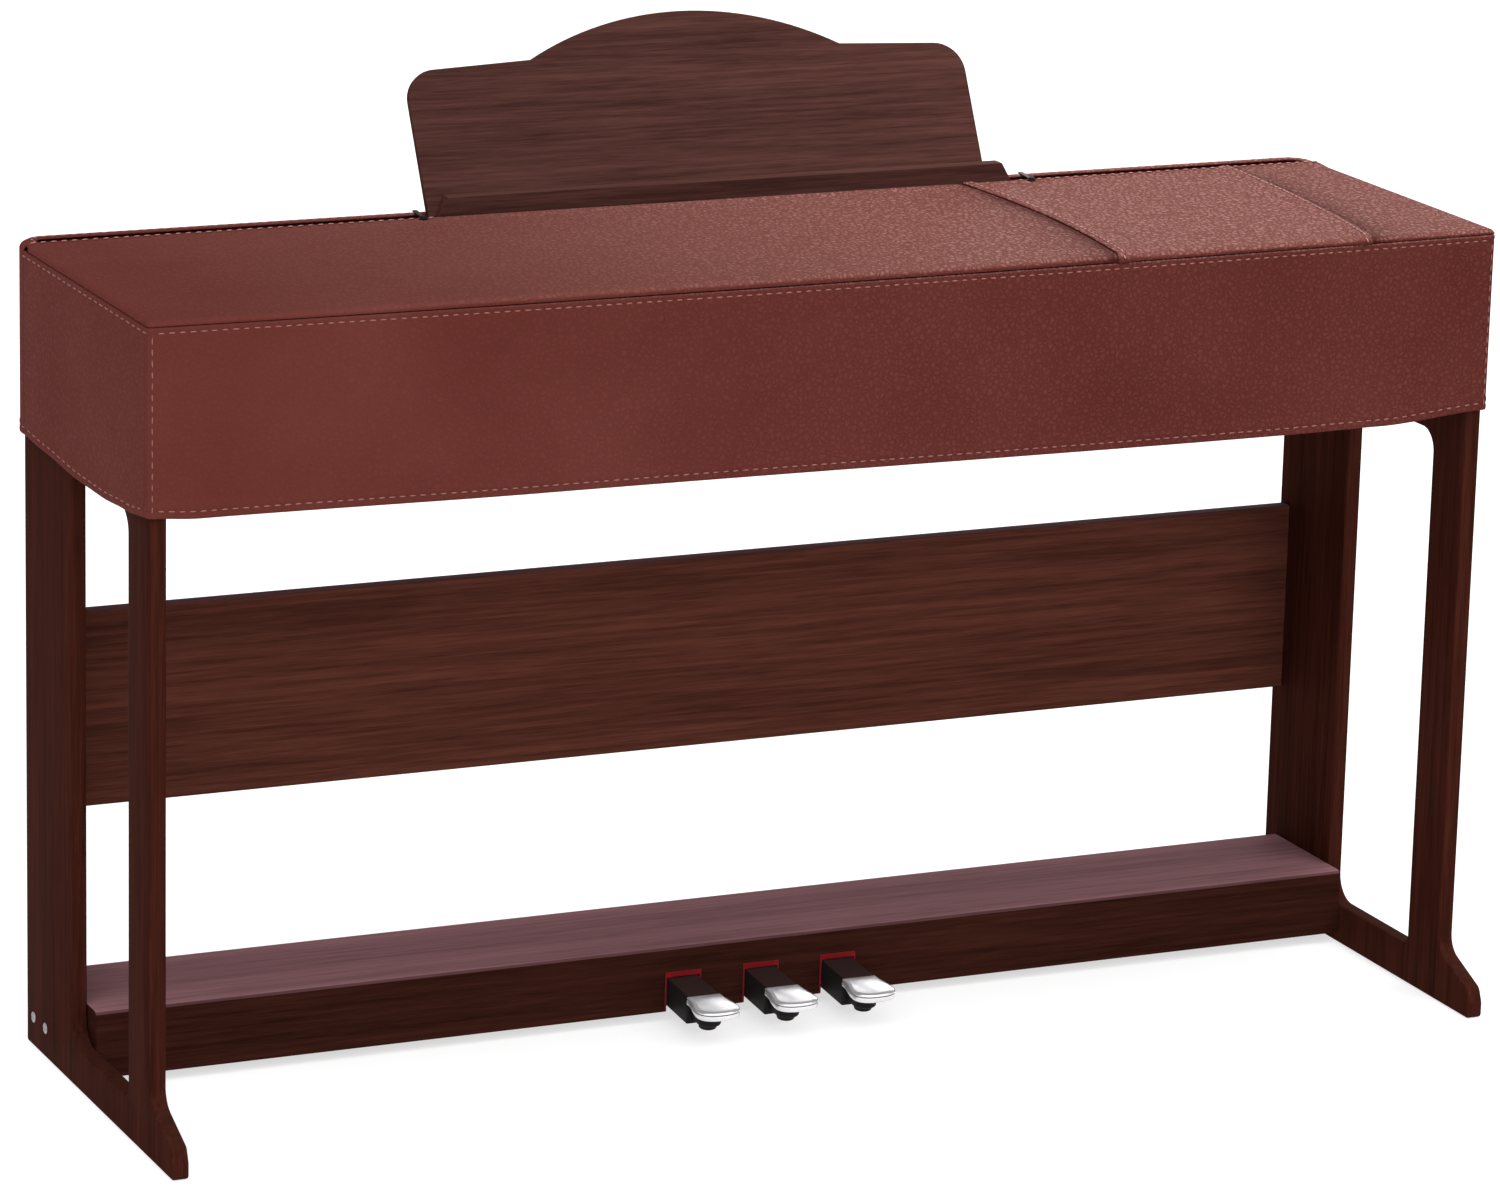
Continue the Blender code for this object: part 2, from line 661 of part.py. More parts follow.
def music_ledge():
    """The shelf along the foot of the rest: upright in front, leaning against the board behind."""
    low_z = CASE_TOP + GAP
    shape = bmesh.new()
    bmesh.ops.create_cube(shape, size=1.0)
    for v in shape.verts:
        high = v.co.z > 0
        z = LEDGE_TOP if high else low_z
        half = LEDGE_HALF_TOP if high else LEDGE_HALF_LOW
        behind = REST_FOOT_Y + (z - TOP) * tan(REST_LEAN) - GAP / cos(REST_LEAN)
        v.co = ((1 if v.co.x > 0 else -1) * half, behind if v.co.y > 0 else LEDGE_FRONT, z)
    front = [e for e in shape.edges if all(abs(v.co.y - LEDGE_FRONT) < 1e-6 and v.co.z > TOP for v in e.verts)]
    bmesh.ops.bevel(shape, geom=front, offset=0.0012, segments=2, profile=0.5, affect="EDGES")
    made = from_bmesh("music_rest_ledge", shape, WALNUT)
    made.location = (CENTRE_X + LEDGE_SHIFT, 0, 0)
    return made


def piano_case():
    """The keyboard's case, which fills the cover: a block with round rear corners and round upper edges."""
    front = FRONT + CASE_SIDE + 0.0005
    back = BACK - CASE_SIDE - 0.0005
    shape = bmesh.new()
    bmesh.ops.create_cube(shape, size=1.0)
    bmesh.ops.scale(shape, vec=(2 * CASE_HALF, back - front, CASE_TOP - CASE_BOTTOM), verts=shape.verts)
    upright = [e for e in shape.edges if all(v.co.y > 0 for v in e.verts) and e.verts[0].co.x == e.verts[1].co.x]
    bmesh.ops.bevel(shape, geom=upright, offset=REAR_CORNER - CASE_SIDE, segments=6, profile=0.5, affect="EDGES")
    upper = [e for e in shape.edges if all(v.co.z > 0 for v in e.verts)]
    bmesh.ops.bevel(shape, geom=upper, offset=ROLL, segments=4, profile=0.5, affect="EDGES")
    made = from_bmesh("piano_case", shape, WOOD)
    made.location = (0, (front + back) / 2, (CASE_BOTTOM + CASE_TOP) / 2)


def piano():
    piano_case()
    for side, word in ((-1, "left"), (1, "right")):
        side_frame("side_frame_" + word, side)
        for place, y in (("rear", MID_Y + 0.150), ("fore", MID_Y + 0.114)):
            screw("screw_" + word + "_" + place, side, y)
    inner = CASE_HALF - BOARD - GAP
    block("back_board", (-inner, BACK_BOARD_FRONT, BACK_BOARD_LOW),
          (inner, BACK_BOARD_FRONT + BACK_BOARD, BACK_BOARD_HIGH), WOOD, bevel=0.0015, segments=1)
    pedal_box()
    for which, x in pedal_places():
        pedal(which, x)
        felt(which, x)
    music_rest()
    music_ledge()


def cover():
    side_top("top_panel_left", -1, SEAM_LEFT)
    middle_top()
    side_top("top_panel_right", 1, SEAM_RIGHT)
    front_panel()
    end_panel("end_panel_left", -1)
    end_panel("end_panel_right", 1)
    rear_panel()
    closure("hook_left", HOOK_LEFT, radians(-8))
    closure("hook_right", HOOK_RIGHT, radians(-8))


cover()
piano()
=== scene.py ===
# %% [markdown]
# # A leathercloth cover on a digital piano
# The cover is a shallow box of thin leathercloth, sewn from seven panels, that drops over the keyboard's
# case. A slit along its back lets the music rest through. Under it stands the piano: two side frames, a back
# board, and a box with three pedals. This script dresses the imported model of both, piece by piece: first the
# tools that several pieces share, then the finishes, the cloth with its folded edges and stitches, the wooden
# piano, its metal, and last the room with its lights and camera.

# %% The frame that every piece hangs on
from math import acos, asin, cos, exp, pi, radians, sin, sqrt, tan

import bmesh
import bpy
from mathutils import Matrix, Vector, noise


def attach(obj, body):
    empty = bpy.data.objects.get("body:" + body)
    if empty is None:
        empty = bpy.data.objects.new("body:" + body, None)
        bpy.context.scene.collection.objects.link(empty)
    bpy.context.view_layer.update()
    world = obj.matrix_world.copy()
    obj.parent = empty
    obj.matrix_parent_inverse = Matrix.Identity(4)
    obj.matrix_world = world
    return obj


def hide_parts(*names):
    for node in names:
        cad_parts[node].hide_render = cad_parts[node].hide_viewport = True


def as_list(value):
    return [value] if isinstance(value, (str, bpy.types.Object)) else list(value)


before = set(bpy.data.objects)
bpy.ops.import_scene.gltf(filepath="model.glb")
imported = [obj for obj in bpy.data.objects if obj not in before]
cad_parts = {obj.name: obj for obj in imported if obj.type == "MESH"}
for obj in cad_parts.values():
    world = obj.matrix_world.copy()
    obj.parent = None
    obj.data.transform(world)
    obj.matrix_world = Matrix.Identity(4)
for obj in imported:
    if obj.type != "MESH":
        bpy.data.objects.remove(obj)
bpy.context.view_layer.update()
scene = bpy.context.scene

# %% [markdown]
# ## Sizes
# Each number here repeats one of the solid model's, in metres, so that the fine cloth lies where its plain
# solid lies. The origin is on the floor under the middle of the whole object. +X is the player's right, and
# the player sits on the -Y side.

# %% Sizes of the cover
HALF = 0.690                # half the cover's width
MID_Y = -0.005              # the cover's middle from front to back
FRONT = MID_Y - 0.196
BACK = MID_Y + 0.196
TOP = 0.787                 # the cloth's upper face
SEAM_DROP = 0.005           # the seam round the top lies this far below it
ROLL = 0.0065               # radius of the turn over the case's edge
ROLL_TURN = acos(1 - SEAM_DROP / ROLL)
ROLL_LENGTH = ROLL * ROLL_TURN
FLAT_X = HALF - ROLL * sin(ROLL_TURN)
FLAT_Y = FRONT + ROLL * sin(ROLL_TURN)
SLIT = MID_Y + 0.160        # front edge of the slit
STRIP = 0.016               # cloth behind the slit
CLOTH = 0.0011              # one layer of leathercloth
FRONT_CORNER = 0.005
REAR_CORNER = 0.028
SLIT_CORNER = 0.012         # radius of the top panels' rear corners, beside the slit
SEAM_LEFT = (0.2855, 0.040, 0.049)      # a curved top seam: place at the slit, drift right, bend left
SEAM_RIGHT = (0.5870, -0.008, 0.0275)
LAP = 0.010
CENTRE_X = 0.018            # the rest and the pedals stand this far right of the middle

# %% [markdown]
# ## Drawing cloth as a grid
# A panel of cloth is easiest to shape as a grid whose points a function places: one list of columns, one
# list of rows, and a rule for where each crossing lies. The grid is the leather's face. Solidify then gives
# it the cloth's thickness on the inner side, so that the face stays where the rule put it. Columns and rows
# crowd together only where the cloth folds.

# %% A grid of cloth
def smooth(t):
    t = min(max(t, 0.0), 1.0)
    return t * t * (3 - 2 * t)


def spread(start, end, step):
    count = max(1, round(abs(end - start) / step))
    return [start + (end - start) * k / count for k in range(count + 1)]


def ripple(x, y, z, size, seed=0.0):
    """Smooth noise between about -1 and 1, with bumps of the given size."""
    return noise.noise(Vector((x / size + seed, y / size - seed, z / size + 2 * seed)))


def make_object(name, mesh, finish_used):
    mesh.materials.clear()
    mesh.materials.append(finish_used)
    made = bpy.data.objects.new(name, mesh)
    scene.collection.objects.link(made)
    return made


def cloth_panel(name, columns, rows, place, shade=None):
    """Outer face from place(column, row), with the cloth's thickness inside it.

    shade(point) says how much painted shade darkens the cloth there, from 0 to 1.
    """
    wide = len(columns)
    points = [place(column, row) for row in rows for column in columns]
    first_corners = [j * wide + i for j in range(len(rows) - 1) for i in range(wide - 1)]
    quads = [(a, a + 1, a + 1 + wide, a + wide) for a in first_corners]
    mesh = bpy.data.meshes.new(name)
    mesh.from_pydata(points, [], quads)
    mesh.shade_smooth()
    darker = mesh.attributes.new("seam_shade", "FLOAT", "POINT")
    for k, point in enumerate(points):
        darker.data[k].value = shade(point) if shade else 0.0
    made = make_object(name, mesh, LEATHER)
    shell = made.modifiers.new("thickness", "SOLIDIFY")
    shell.thickness = CLOTH
    shell.offset = -1
    print(name, len(quads), "cells")
    return made


# %% [markdown]
# ## Node helpers
# Every finish is a small node tree that ends in one Principled shader. These helpers keep the trees short:
# `finish` starts one, `node` adds a node with its settings and inputs, and `feed` gives an input either a
# plain value or the socket that drives it.

# %% Starting a finish
def feed(tree, target, value):
    if isinstance(value, bpy.types.NodeSocket):
        tree.links.new(value, target)
    else:
        target.default_value = value


def node(tree, kind, settings=(), inputs=()):
    made = tree.nodes.new(kind)
    for key, value in dict(settings).items():
        setattr(made, key, value)
    for key, value in dict(inputs).items():
        feed(tree, made.inputs[key], value)
    return made


def finish(name, roughness, specular, metallic=0.0):
    made = bpy.data.materials.new(name)
    made.use_nodes = True
    shader = made.node_tree.nodes["Principled BSDF"]
    shader.inputs["Roughness"].default_value = roughness
    shader.inputs["Metallic"].default_value = metallic
    shader.inputs["Specular IOR Level"].default_value = specular
    return made, made.node_tree, shader


def coated(tree, shader, colour, roughness=None):
    """Gives the shader its colour, and its roughness where that varies."""
    feed(tree, shader.inputs["Base Color"], colour)
    if roughness:
        feed(tree, shader.inputs["Roughness"], roughness)


def bumped(tree, shader, height, distance, strength=1.0):
    bump = node(tree, "ShaderNodeBump", {}, {"Height": height, "Distance": distance, "Strength": strength})
    feed(tree, shader.inputs["Normal"], bump.outputs["Normal"])


# %% Numbers and colours inside a finish
def ramp(tree, source, stops):
    """A colour ramp from (place, colour) stops, fed by a socket."""
    made = node(tree, "ShaderNodeValToRGB", {}, {"Fac": source})
    band = made.color_ramp
    while len(band.elements) > 1:
        band.elements.remove(band.elements[-1])
    for i, (place, colour) in enumerate(stops):
        stop = band.elements[0] if i == 0 else band.elements.new(place)
        stop.position = place
        stop.color = (*colour, 1)
    return made.outputs["Color"]


def rescale(tree, source, low, high, new_low=0.0, new_high=1.0):
    limits = {"Value": source, "From Min": low, "From Max": high, "To Min": new_low, "To Max": new_high}
    return node(tree, "ShaderNodeMapRange", {"interpolation_type": "SMOOTHSTEP"}, limits).outputs["Result"]


def maths(tree, operation, a, b):
    return node(tree, "ShaderNodeMath", {"operation": operation}, {0: a, 1: b}).outputs["Value"]


def mixed(tree, share, a, b, blend="MIX"):
    """Two colours blended. Sockets 0, 6 and 7 are the colour mix's share, first and second."""
    settings = {"data_type": "RGBA", "blend_type": blend}
    return node(tree, "ShaderNodeMix", settings, {0: share, 6: a, 7: b}).outputs[2]


def times(tree, a, b):
    return mixed(tree, 1.0, a, b, "MULTIPLY")


def one_axis(tree, vector, axis):
    return node(tree, "ShaderNodeSeparateXYZ", {}, {0: vector}).outputs[axis]


def facing_up(tree, low, high):
    """How far a face looks up, from the height of its normal."""
    normal = tree.nodes.new("ShaderNodeNewGeometry").outputs["Normal"]
    return rescale(tree, one_axis(tree, normal, "Z"), low, high)


def stored(tree, name):
    return node(tree, "ShaderNodeAttribute", {"attribute_name": name}).outputs["Fac"]


# %% Places and noise inside a finish
def place_on_object(tree, scale=(1, 1, 1), turn=(0, 0, 0)):
    where = tree.nodes.new("ShaderNodeTexCoord").outputs["Object"]
    inputs = {"Vector": where, "Scale": scale, "Rotation": turn}
    return node(tree, "ShaderNodeMapping", {}, inputs).outputs["Vector"]


def noise_node(tree, where, scale, detail, roughness=0.5):
    inputs = {"Vector": where, "Scale": scale, "Detail": detail, "Roughness": roughness}
    return node(tree, "ShaderNodeTexNoise", {}, inputs)


def wandering(tree, where, scale, amount):
    """Coordinates pushed about by noise, by up to half the amount each way."""
    warp = noise_node(tree, where, scale, 2.0, 0.6).outputs["Color"]
    inputs = {0: warp, 1: (amount, amount, amount), 2: where}
    return node(tree, "ShaderNodeVectorMath", {"operation": "MULTIPLY_ADD"}, inputs).outputs["Vector"]


# %% [markdown]
# ## Leathercloth
# The cloth is embossed with a pebbled grain: small cushions, about five millimetres long, parted by fine
# creases. A Voronoi texture's distance to its cell edges draws such cushions, and noise added to its
# coordinates makes them wander like real hide. A second, smaller grain breaks up each cushion. The creases
# are duller than the crests, with painted shade in them and a painted highlight on the crests, and broad
# noise shifts the dye slightly from place to place. The cloth is pulled tighter at its left end, so the
# grain is shallower there. On faces that look up, more towards the right, a pale pink sheen is painted on the
# crests. Painted shade darkens the top's side panels beside the curved seams.

# %% The leathercloth's grain and dye
WHITE = (1.0, 1.0, 1.0)


def leathercloth():
    made, tree, shader = finish("oxblood_leathercloth", 0.5, specular=0.004)
    where = place_on_object(tree)
    pushed = wandering(tree, place_on_object(tree, scale=(1, 0.66, 1)), 130.0, 0.0062)
    height = 0.0
    for scale, reach, share in ((190.0, 0.34, 0.80), (520.0, 0.30, 0.20)):
        inputs = {"Scale": scale, "Vector": pushed}
        cells = node(tree, "ShaderNodeTexVoronoi", {"feature": "DISTANCE_TO_EDGE"}, inputs)
        crest = rescale(tree, cells.outputs["Distance"], 0.0, reach)
        height = maths(tree, "ADD", height, maths(tree, "MULTIPLY", crest, share))
    along = one_axis(tree, where, "X")
    slack = rescale(tree, along, -0.60, 0.30, 0.30, 1.0)
    embossed = maths(tree, "MULTIPLY", height, slack)
    taut = maths(tree, "SUBTRACT", 1.0, slack)
    grain_relief = maths(tree, "ADD", embossed, maths(tree, "MULTIPLY", taut, 0.42))
    cloud = noise_node(tree, where, 6.0, 4.0, 0.55).outputs["Fac"]
    dye = ramp(tree, cloud, [(0.30, (0.097, 0.0225, 0.0180)), (0.70, (0.113, 0.0290, 0.0238))])
    # Painted shade in the creases and a painted highlight on the crests.
    painted_grain_shading = ramp(
        tree, grain_relief, [(0.0, (0.80, 0.76, 0.76)), (0.35, (1.02, 1.02, 1.02)), (1.0, (1.18, 1.22, 1.22))])
    # A painted pale pink sheen on the crests where the cloth looks up, stronger towards the right.
    sheen_stops = [(0.0, (0.114, 0.038, 0.031)), (0.45, (0.182, 0.073, 0.062)), (1.0, (0.252, 0.116, 0.102))]
    sheen_colour = ramp(tree, grain_relief, sheen_stops)
    sheen_towards_right = rescale(tree, along, -0.72, 0.20, 0.02, 1.0)
    painted_sheen = maths(tree, "MULTIPLY", facing_up(tree, 0.25, 0.75), sheen_towards_right)
    # Painted shade beside the curved seams, read from the stored seam_shade.
    painted_seam_shade = ramp(tree, stored(tree, "seam_shade"), [(0.0, WHITE), (1.0, (0.42, 0.36, 0.36))])
    colour = times(tree, mixed(tree, painted_sheen, times(tree, dye, painted_grain_shading), sheen_colour), painted_seam_shade)
    coated(tree, shader, colour, rescale(tree, height, 0.0, 1.0, 0.60, 0.42))
    bumped(tree, shader, embossed, 0.0011)
    return made


LEATHER = leathercloth()

# %% [markdown]
# ## Thread
# The stitches are thick polyester thread in a dusty pink. Fine slanted stripes stand for its twist, and a
# paler sheen is painted on the sides that look up, like the cloth.

# %% The thread's twist
def thread_finish():
    made, tree, shader = finish("dusty_pink_thread", 0.62, specular=0.05)
    inputs = {"Vector": place_on_object(tree, turn=(0.5, 0.6, 0.7)), "Scale": 420.0, "Distortion": 0.6}
    twist = node(tree, "ShaderNodeTexWave", {}, inputs).outputs["Fac"]
    plain_side = ramp(tree, twist, [(0.0, (0.19, 0.072, 0.062)), (1.0, (0.34, 0.150, 0.132))])
    # A paler sheen painted on the sides that look up.
    sheen_colour = ramp(tree, twist, [(0.0, (0.32, 0.155, 0.135)), (1.0, (0.50, 0.290, 0.260))])
    coated(tree, shader, mixed(tree, facing_up(tree, 0.5, 0.9), plain_side, sheen_colour))
    bumped(tree, shader, twist, 0.00015)
    return made


THREAD = thread_finish()

# %% [markdown]
# ## Stained and grained boards
# The stand is faced with a dark mahogany foil and the rest with a browner walnut. A grained board is noise
# stretched along the fibres: broad noise for the figure, narrow noise for the pores. One function serves
# both, and each piece passes the direction that its fibres run in.

# %% A board's grain along one axis
def streaks(tree, fibre, colour, dark, light):
    """A darker, a plain and a lighter shade of one colour, spread over the fibres."""
    shades = [tuple(c * share for c in colour) for share in (dark, 1.0, light)]
    return ramp(tree, fibre, list(zip((0.38, 0.50, 0.62), shades)))


def board_finish(name, along, colour, roughness, painted_sheen, figure=30.0):
    """Grain along an axis. Faces that look up carry a painted pale sheen."""
    made, tree, shader = finish(name, roughness, specular=0.001)
    stretch = {"X": (0.03, 1, 1), "Z": (1, 1, 0.03)}[along]
    pushed = wandering(tree, place_on_object(tree, scale=stretch), 5.0, 0.03)
    fibre = 0.0
    for scale, share in ((figure, 0.30), (figure * 7, 0.42), (figure * 30, 0.28)):
        fine = noise_node(tree, pushed, scale, 3.0, 0.6).outputs["Fac"]
        fibre = maths(tree, "ADD", fibre, maths(tree, "MULTIPLY", fine, share))
    grain = streaks(tree, fibre, colour, 0.58, 1.45)
    # A painted pale sheen on faces that look up, streaked like the grain.
    sheen_streaks = streaks(tree, fibre, painted_sheen, 0.74, 1.22)
    gloss = rescale(tree, fibre, 0.3, 0.7, roughness - 0.04, roughness + 0.10)
    coated(tree, shader, mixed(tree, facing_up(tree, 0.55, 0.98), grain, sheen_streaks), gloss)
    bumped(tree, shader, fine, 0.00010, 0.6)
    return made


# The last colour of each finish is its painted sheen on faces that look up.
FRAME_WOOD = board_finish("mahogany_foil_upright", "Z", (0.037, 0.0095, 0.006), 0.40, (0.036, 0.011, 0.0072))
BOARD_WOOD = board_finish("mahogany_foil_level", "X", (0.077, 0.0245, 0.0160), 0.40, (0.155, 0.080, 0.088))
BOX_WOOD = board_finish("mahogany_foil_box", "X", (0.029, 0.0085, 0.0057), 0.40, (0.228, 0.112, 0.124))
CASE_WOOD = board_finish("case_lacquer", "X", (0.040, 0.0052, 0.0042), 0.50, (0.040, 0.0052, 0.0042))
REST_WOOD = board_finish("walnut_veneer", "X", (0.057, 0.0226, 0.0186), 0.44, (0.070, 0.029, 0.024), 38.0)

# %% [markdown]
# ## Metal, plastic and felt
# Polished metal is nearly all reflection, so its only texture is a faint waviness, and painted shade in its
# grooves. The screws' zinc is duller and cloudier. The black plastic has a fine spark-eroded grain, with its
# upper faces lighter and browner, and the felt a soft, uneven nap.

# %% Metal, plastic and felt
def mottled(name, roughness, metallic, specular, scale, dark, light, relief, overlay=None):
    """A nearly plain finish: fine noise shifts its colour, its gloss and its surface a little.

    overlay(tree) gives a colour that multiplies the noise's own.
    """
    made, tree, shader = finish(name, roughness, specular, metallic)
    haze = noise_node(tree, place_on_object(tree), scale, 3.0).outputs["Fac"]
    colour = ramp(tree, haze, [(0.3, dark), (0.7, light)])
    if overlay:
        colour = times(tree, colour, overlay(tree))
    spread_by = 0.15 * roughness
    coated(tree, shader, colour, rescale(tree, haze, 0.3, 0.7, roughness - spread_by, roughness + spread_by))
    bumped(tree, shader, haze, relief, 0.6)
    return made


# Painted shade in the toe caps' groove and along their lower rim.
def painted_groove_shade(tree):
    return ramp(tree, stored(tree, "painted_shade"), [(0.0, WHITE), (1.0, (0.04, 0.04, 0.045))])


# Upper faces lighter and browner.
def lighter_upper_faces(tree):
    return ramp(tree, facing_up(tree, 0.6, 0.95), [(0.0, WHITE), (1.0, (2.6, 1.75, 1.6))])


METAL = mottled(
    "polished_steel", 0.20, 0.60, 0.5, 60.0, (0.68, 0.675, 0.69), (0.78, 0.775, 0.79), 0.00003,
    painted_groove_shade)
SCREW_METAL = mottled("zinc_plate", 0.34, 0.60, 0.3, 300.0, (0.26, 0.24, 0.24), (0.40, 0.375, 0.375), 0.00003)
PLASTIC = mottled(
    "black_plastic", 0.46, 0.0, 0.06, 1400.0, (0.008, 0.007, 0.007), (0.015, 0.012, 0.012), 0.00006,
    lighter_upper_faces)
FELT = mottled("red_felt", 0.95, 0.0, 0.05, 900.0, (0.11, 0.001, 0.003), (0.24, 0.003, 0.008), 0.0005)
FELT.node_tree.nodes["Principled BSDF"].inputs["Sheen Weight"].default_value = 0.15

# %% [markdown]
# ## The shape of the top cloth
# The three top panels share one surface: flat on the case, then rolled over its front and end edges down to
# the seam. `on_top` takes a place measured along the cloth and gives the point in space. A panel's own
# relief, such as a folded hem, is passed as a rise along the surface's normal. The cloth isn't glued to the
# case, so it also stands in slow, shallow waves that catch the light.

# %% A point of the top cloth
SEAM_SAG = 0.0028
TOP_WAVE = 0.0007           # height of the slow waves
TOP_RIPPLE = 0.00022        # height of the short ones between them


def seam_dip(x):
    """The front seam hangs a little lower in the middle, where nothing holds it up."""
    return SEAM_SAG * (1 - (x / HALF) ** 2)


def top_waves(x, y):
    inside = smooth((FLAT_X - abs(x)) / 0.10) * smooth((y - FLAT_Y) / 0.07) * smooth((SLIT - y) / 0.05)
    slow = TOP_WAVE * (ripple(x, y, 0, 0.22) + 0.55)
    return inside * (max(slow, 0.0) + TOP_RIPPLE * ripple(x, y, 0, 0.055, 3.7))


def on_top(x, y, rise=0.0):
    past_x = max(0.0, abs(x) - FLAT_X) / ROLL
    past_y = max(0.0, FLAT_Y - y) / ROLL
    down_x = (1 - cos(past_x)) * ROLL / SEAM_DROP
    down_y = (1 - cos(past_y)) * ROLL / SEAM_DROP
    side = 1 if x > 0 else -1
    normal = Vector((side * sin(past_x), -sin(past_y), cos(past_x) * cos(past_y))).normalized()
    corner = FRONT_CORNER * (1 - sqrt(0.5)) * down_x * min(down_y, 1.0)
    flat = Vector((
        side * (min(abs(x), FLAT_X) + ROLL * sin(past_x) - corner),
        max(y, FLAT_Y) - ROLL * sin(past_y) + corner,
        TOP - SEAM_DROP * (1 - (1 - down_x) * (1 - down_y)) + top_waves(x, y),
    ))
    return flat + normal * rise


# %% [markdown]
# ## Folded edges
# Leathercloth frays, so each edge that shows is folded under and sewn. Such an edge is rounded, twice as
# thick as the cloth, and pinched along its stitches. A profile of (distance from the edge, rise) pairs gives
# it: `SLIT_HEM` beside the slit, `LAP_HEM` where the middle panel overlaps its neighbours, and `EDGE_TURN`
# where two panels dive into the seam between them.

# %% Profiles of the folded edges
STITCH_IN = 0.0062          # a row of stitches runs this far inside a lapped edge
SLIT_HEM = [
    (0.0, -0.0009), (0.0002, 0.0002), (0.0007, 0.0009), (0.0016, 0.0013), (0.0036, 0.0013), (0.0046, 0.0009),
    (0.0056, 0.0011), (0.0090, 0.0010), (0.0110, 0.0008), (0.0125, 0.0003), (0.0145, 0.0),
]
LAP_HEM = [
    (0.0, 0.0003), (0.0002, 0.0014), (0.0007, 0.0021), (0.0016, 0.0025), (0.0040, 0.0027), (0.0054, 0.0025),
    (STITCH_IN, 0.0019), (0.0072, 0.0025), (0.0090, 0.0026), (0.0115, 0.0024), (0.0150, 0.0014),
    (0.0200, 0.0006), (0.0260, 0.0),
]
EDGE_TURN = [(0.0, -0.0013), (0.0003, -0.0007), (0.0008, -0.0002), (0.0017, 0.0001), (0.0030, 0.0001)]


def read_table(table, at, ease=lambda share: share):
    """Reads a table of (place, value) pairs at a place between two of them."""
    for (a, low), (b, high) in zip(table, table[1:]):
        if at <= b:
            return low + (high - low) * ease((at - a) / (b - a))
    return table[-1][1]


# %% [markdown]
# ## Top panels
# Rows run from the front seam, up the roll, across the flat and to the hem beside the slit. Columns of the
# side panels start in the end seams and run on ten millimetres under the middle panel. The middle panel's
# two sides follow the curved seams, whose sweep is a power of the distance from the slit.

# %% Rows of the top panels
SHADE_OFF = 0.004           # the darkest line of the painted shade lies this far outside a curved seam
SHADE_WIDE = 0.026          # reach of the broad painted shade, and of the narrow line inside it
SHADE_NARROW = 0.003


def seam_x(seam, y):
    at_slit, drift, bend = seam
    t = min(max((SLIT - y) / (SLIT - FRONT), 0.0), 1.0)
    return at_slit + drift * t - bend * t * t


def beside_seam(point):
    """Painted shade on the side panels of the top, beside the curved seams that they sink into."""
    past_left = abs(point.x - seam_x(SEAM_LEFT, point.y) + SHADE_OFF)
    past_right = abs(point.x - seam_x(SEAM_RIGHT, point.y) - SHADE_OFF)
    gap = min(past_left, past_right)
    along = smooth((SLIT - point.y) / 0.10)
    return min(1.0, (0.20 + 0.45 * along) * exp(-gap / SHADE_WIDE) + 0.45 * exp(-gap / SHADE_NARROW))


def slit_edge(x):
    """The top panels' rear edge, with its outer corners rounded off."""
    short_of = SLIT_CORNER - min(max(HALF - abs(x), 0.0), SLIT_CORNER)
    return SLIT - (SLIT_CORNER - sqrt(SLIT_CORNER ** 2 - short_of ** 2))


EDGE_STEPS = [("turn", s) for s, _ in EDGE_TURN] + [("roll", k / 6) for k in range(1, 6)]
TOP_ROWS = EDGE_STEPS + [("flat", t) for t in spread(0.0, 1.0, 0.0165)]
TOP_ROWS += [("hem", e) for e, _ in SLIT_HEM[-2::-1]]


def top_y(row, x):
    """A row's place along the cloth, at x."""
    kind, value = row
    low = FLAT_Y - ROLL_LENGTH - seam_dip(x)
    if kind == "turn":
        return low + value
    if kind == "roll":
        first = low + EDGE_TURN[-1][0]
        return first + (FLAT_Y - first) * value
    if kind == "flat":
        return FLAT_Y + (slit_edge(x) - SLIT_HEM[-1][0] - FLAT_Y) * value
    return slit_edge(x) - value


def row_rise(row):
    kind, value = row
    profile = {"turn": EDGE_TURN, "hem": SLIT_HEM}.get(kind)
    return read_table(profile, value) if profile else 0.0


# %% The two side panels of the top
LAP_CLEAR = 0.020           # a side panel sinks under the middle one over this much, from its hidden edge
LAP_COLUMNS = (0.014, LAP, 0.004, 0.0)
LAP_SUNK = 0.012


def side_top(name, side, seam):
    reach = abs(side * FLAT_X - seam[0])
    columns = EDGE_STEPS + [("flat", t) for t in spread(0.0, 1.0, 0.006 / reach)]
    columns += [("under", past) for past in LAP_COLUMNS]
    if side > 0:
        columns = columns[::-1]

    def place(column, row):
        kind, value = column
        rise = row_rise(row)
        if kind == "turn":
            edge = read_table(EDGE_TURN, value)
            x = side * (FLAT_X + ROLL_LENGTH - value)
            return on_top(x, top_y(row, side * HALF), min(edge, rise) if edge < 0 else rise)
        inner = seam_x(seam, top_y(row, seam[0])) - side * LAP
        if kind == "roll":
            x = side * (FLAT_X + (ROLL_LENGTH - EDGE_TURN[-1][0]) * (1 - value))
        elif kind == "under":
            x = inner + side * value
            rise = min(rise, 0.0) if value < LAP_SUNK else rise * 0.3
        else:
            x = side * FLAT_X + (inner + side * LAP_CLEAR - side * FLAT_X) * value
        return on_top(x, top_y(row, x), rise)

    return cloth_panel(name, columns, TOP_ROWS, place, beside_seam)


top_left = side_top("top_cloth_left", -1, SEAM_LEFT)
top_right = side_top("top_cloth_right", 1, SEAM_RIGHT)
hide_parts("top_panel_left")
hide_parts("top_panel_right")

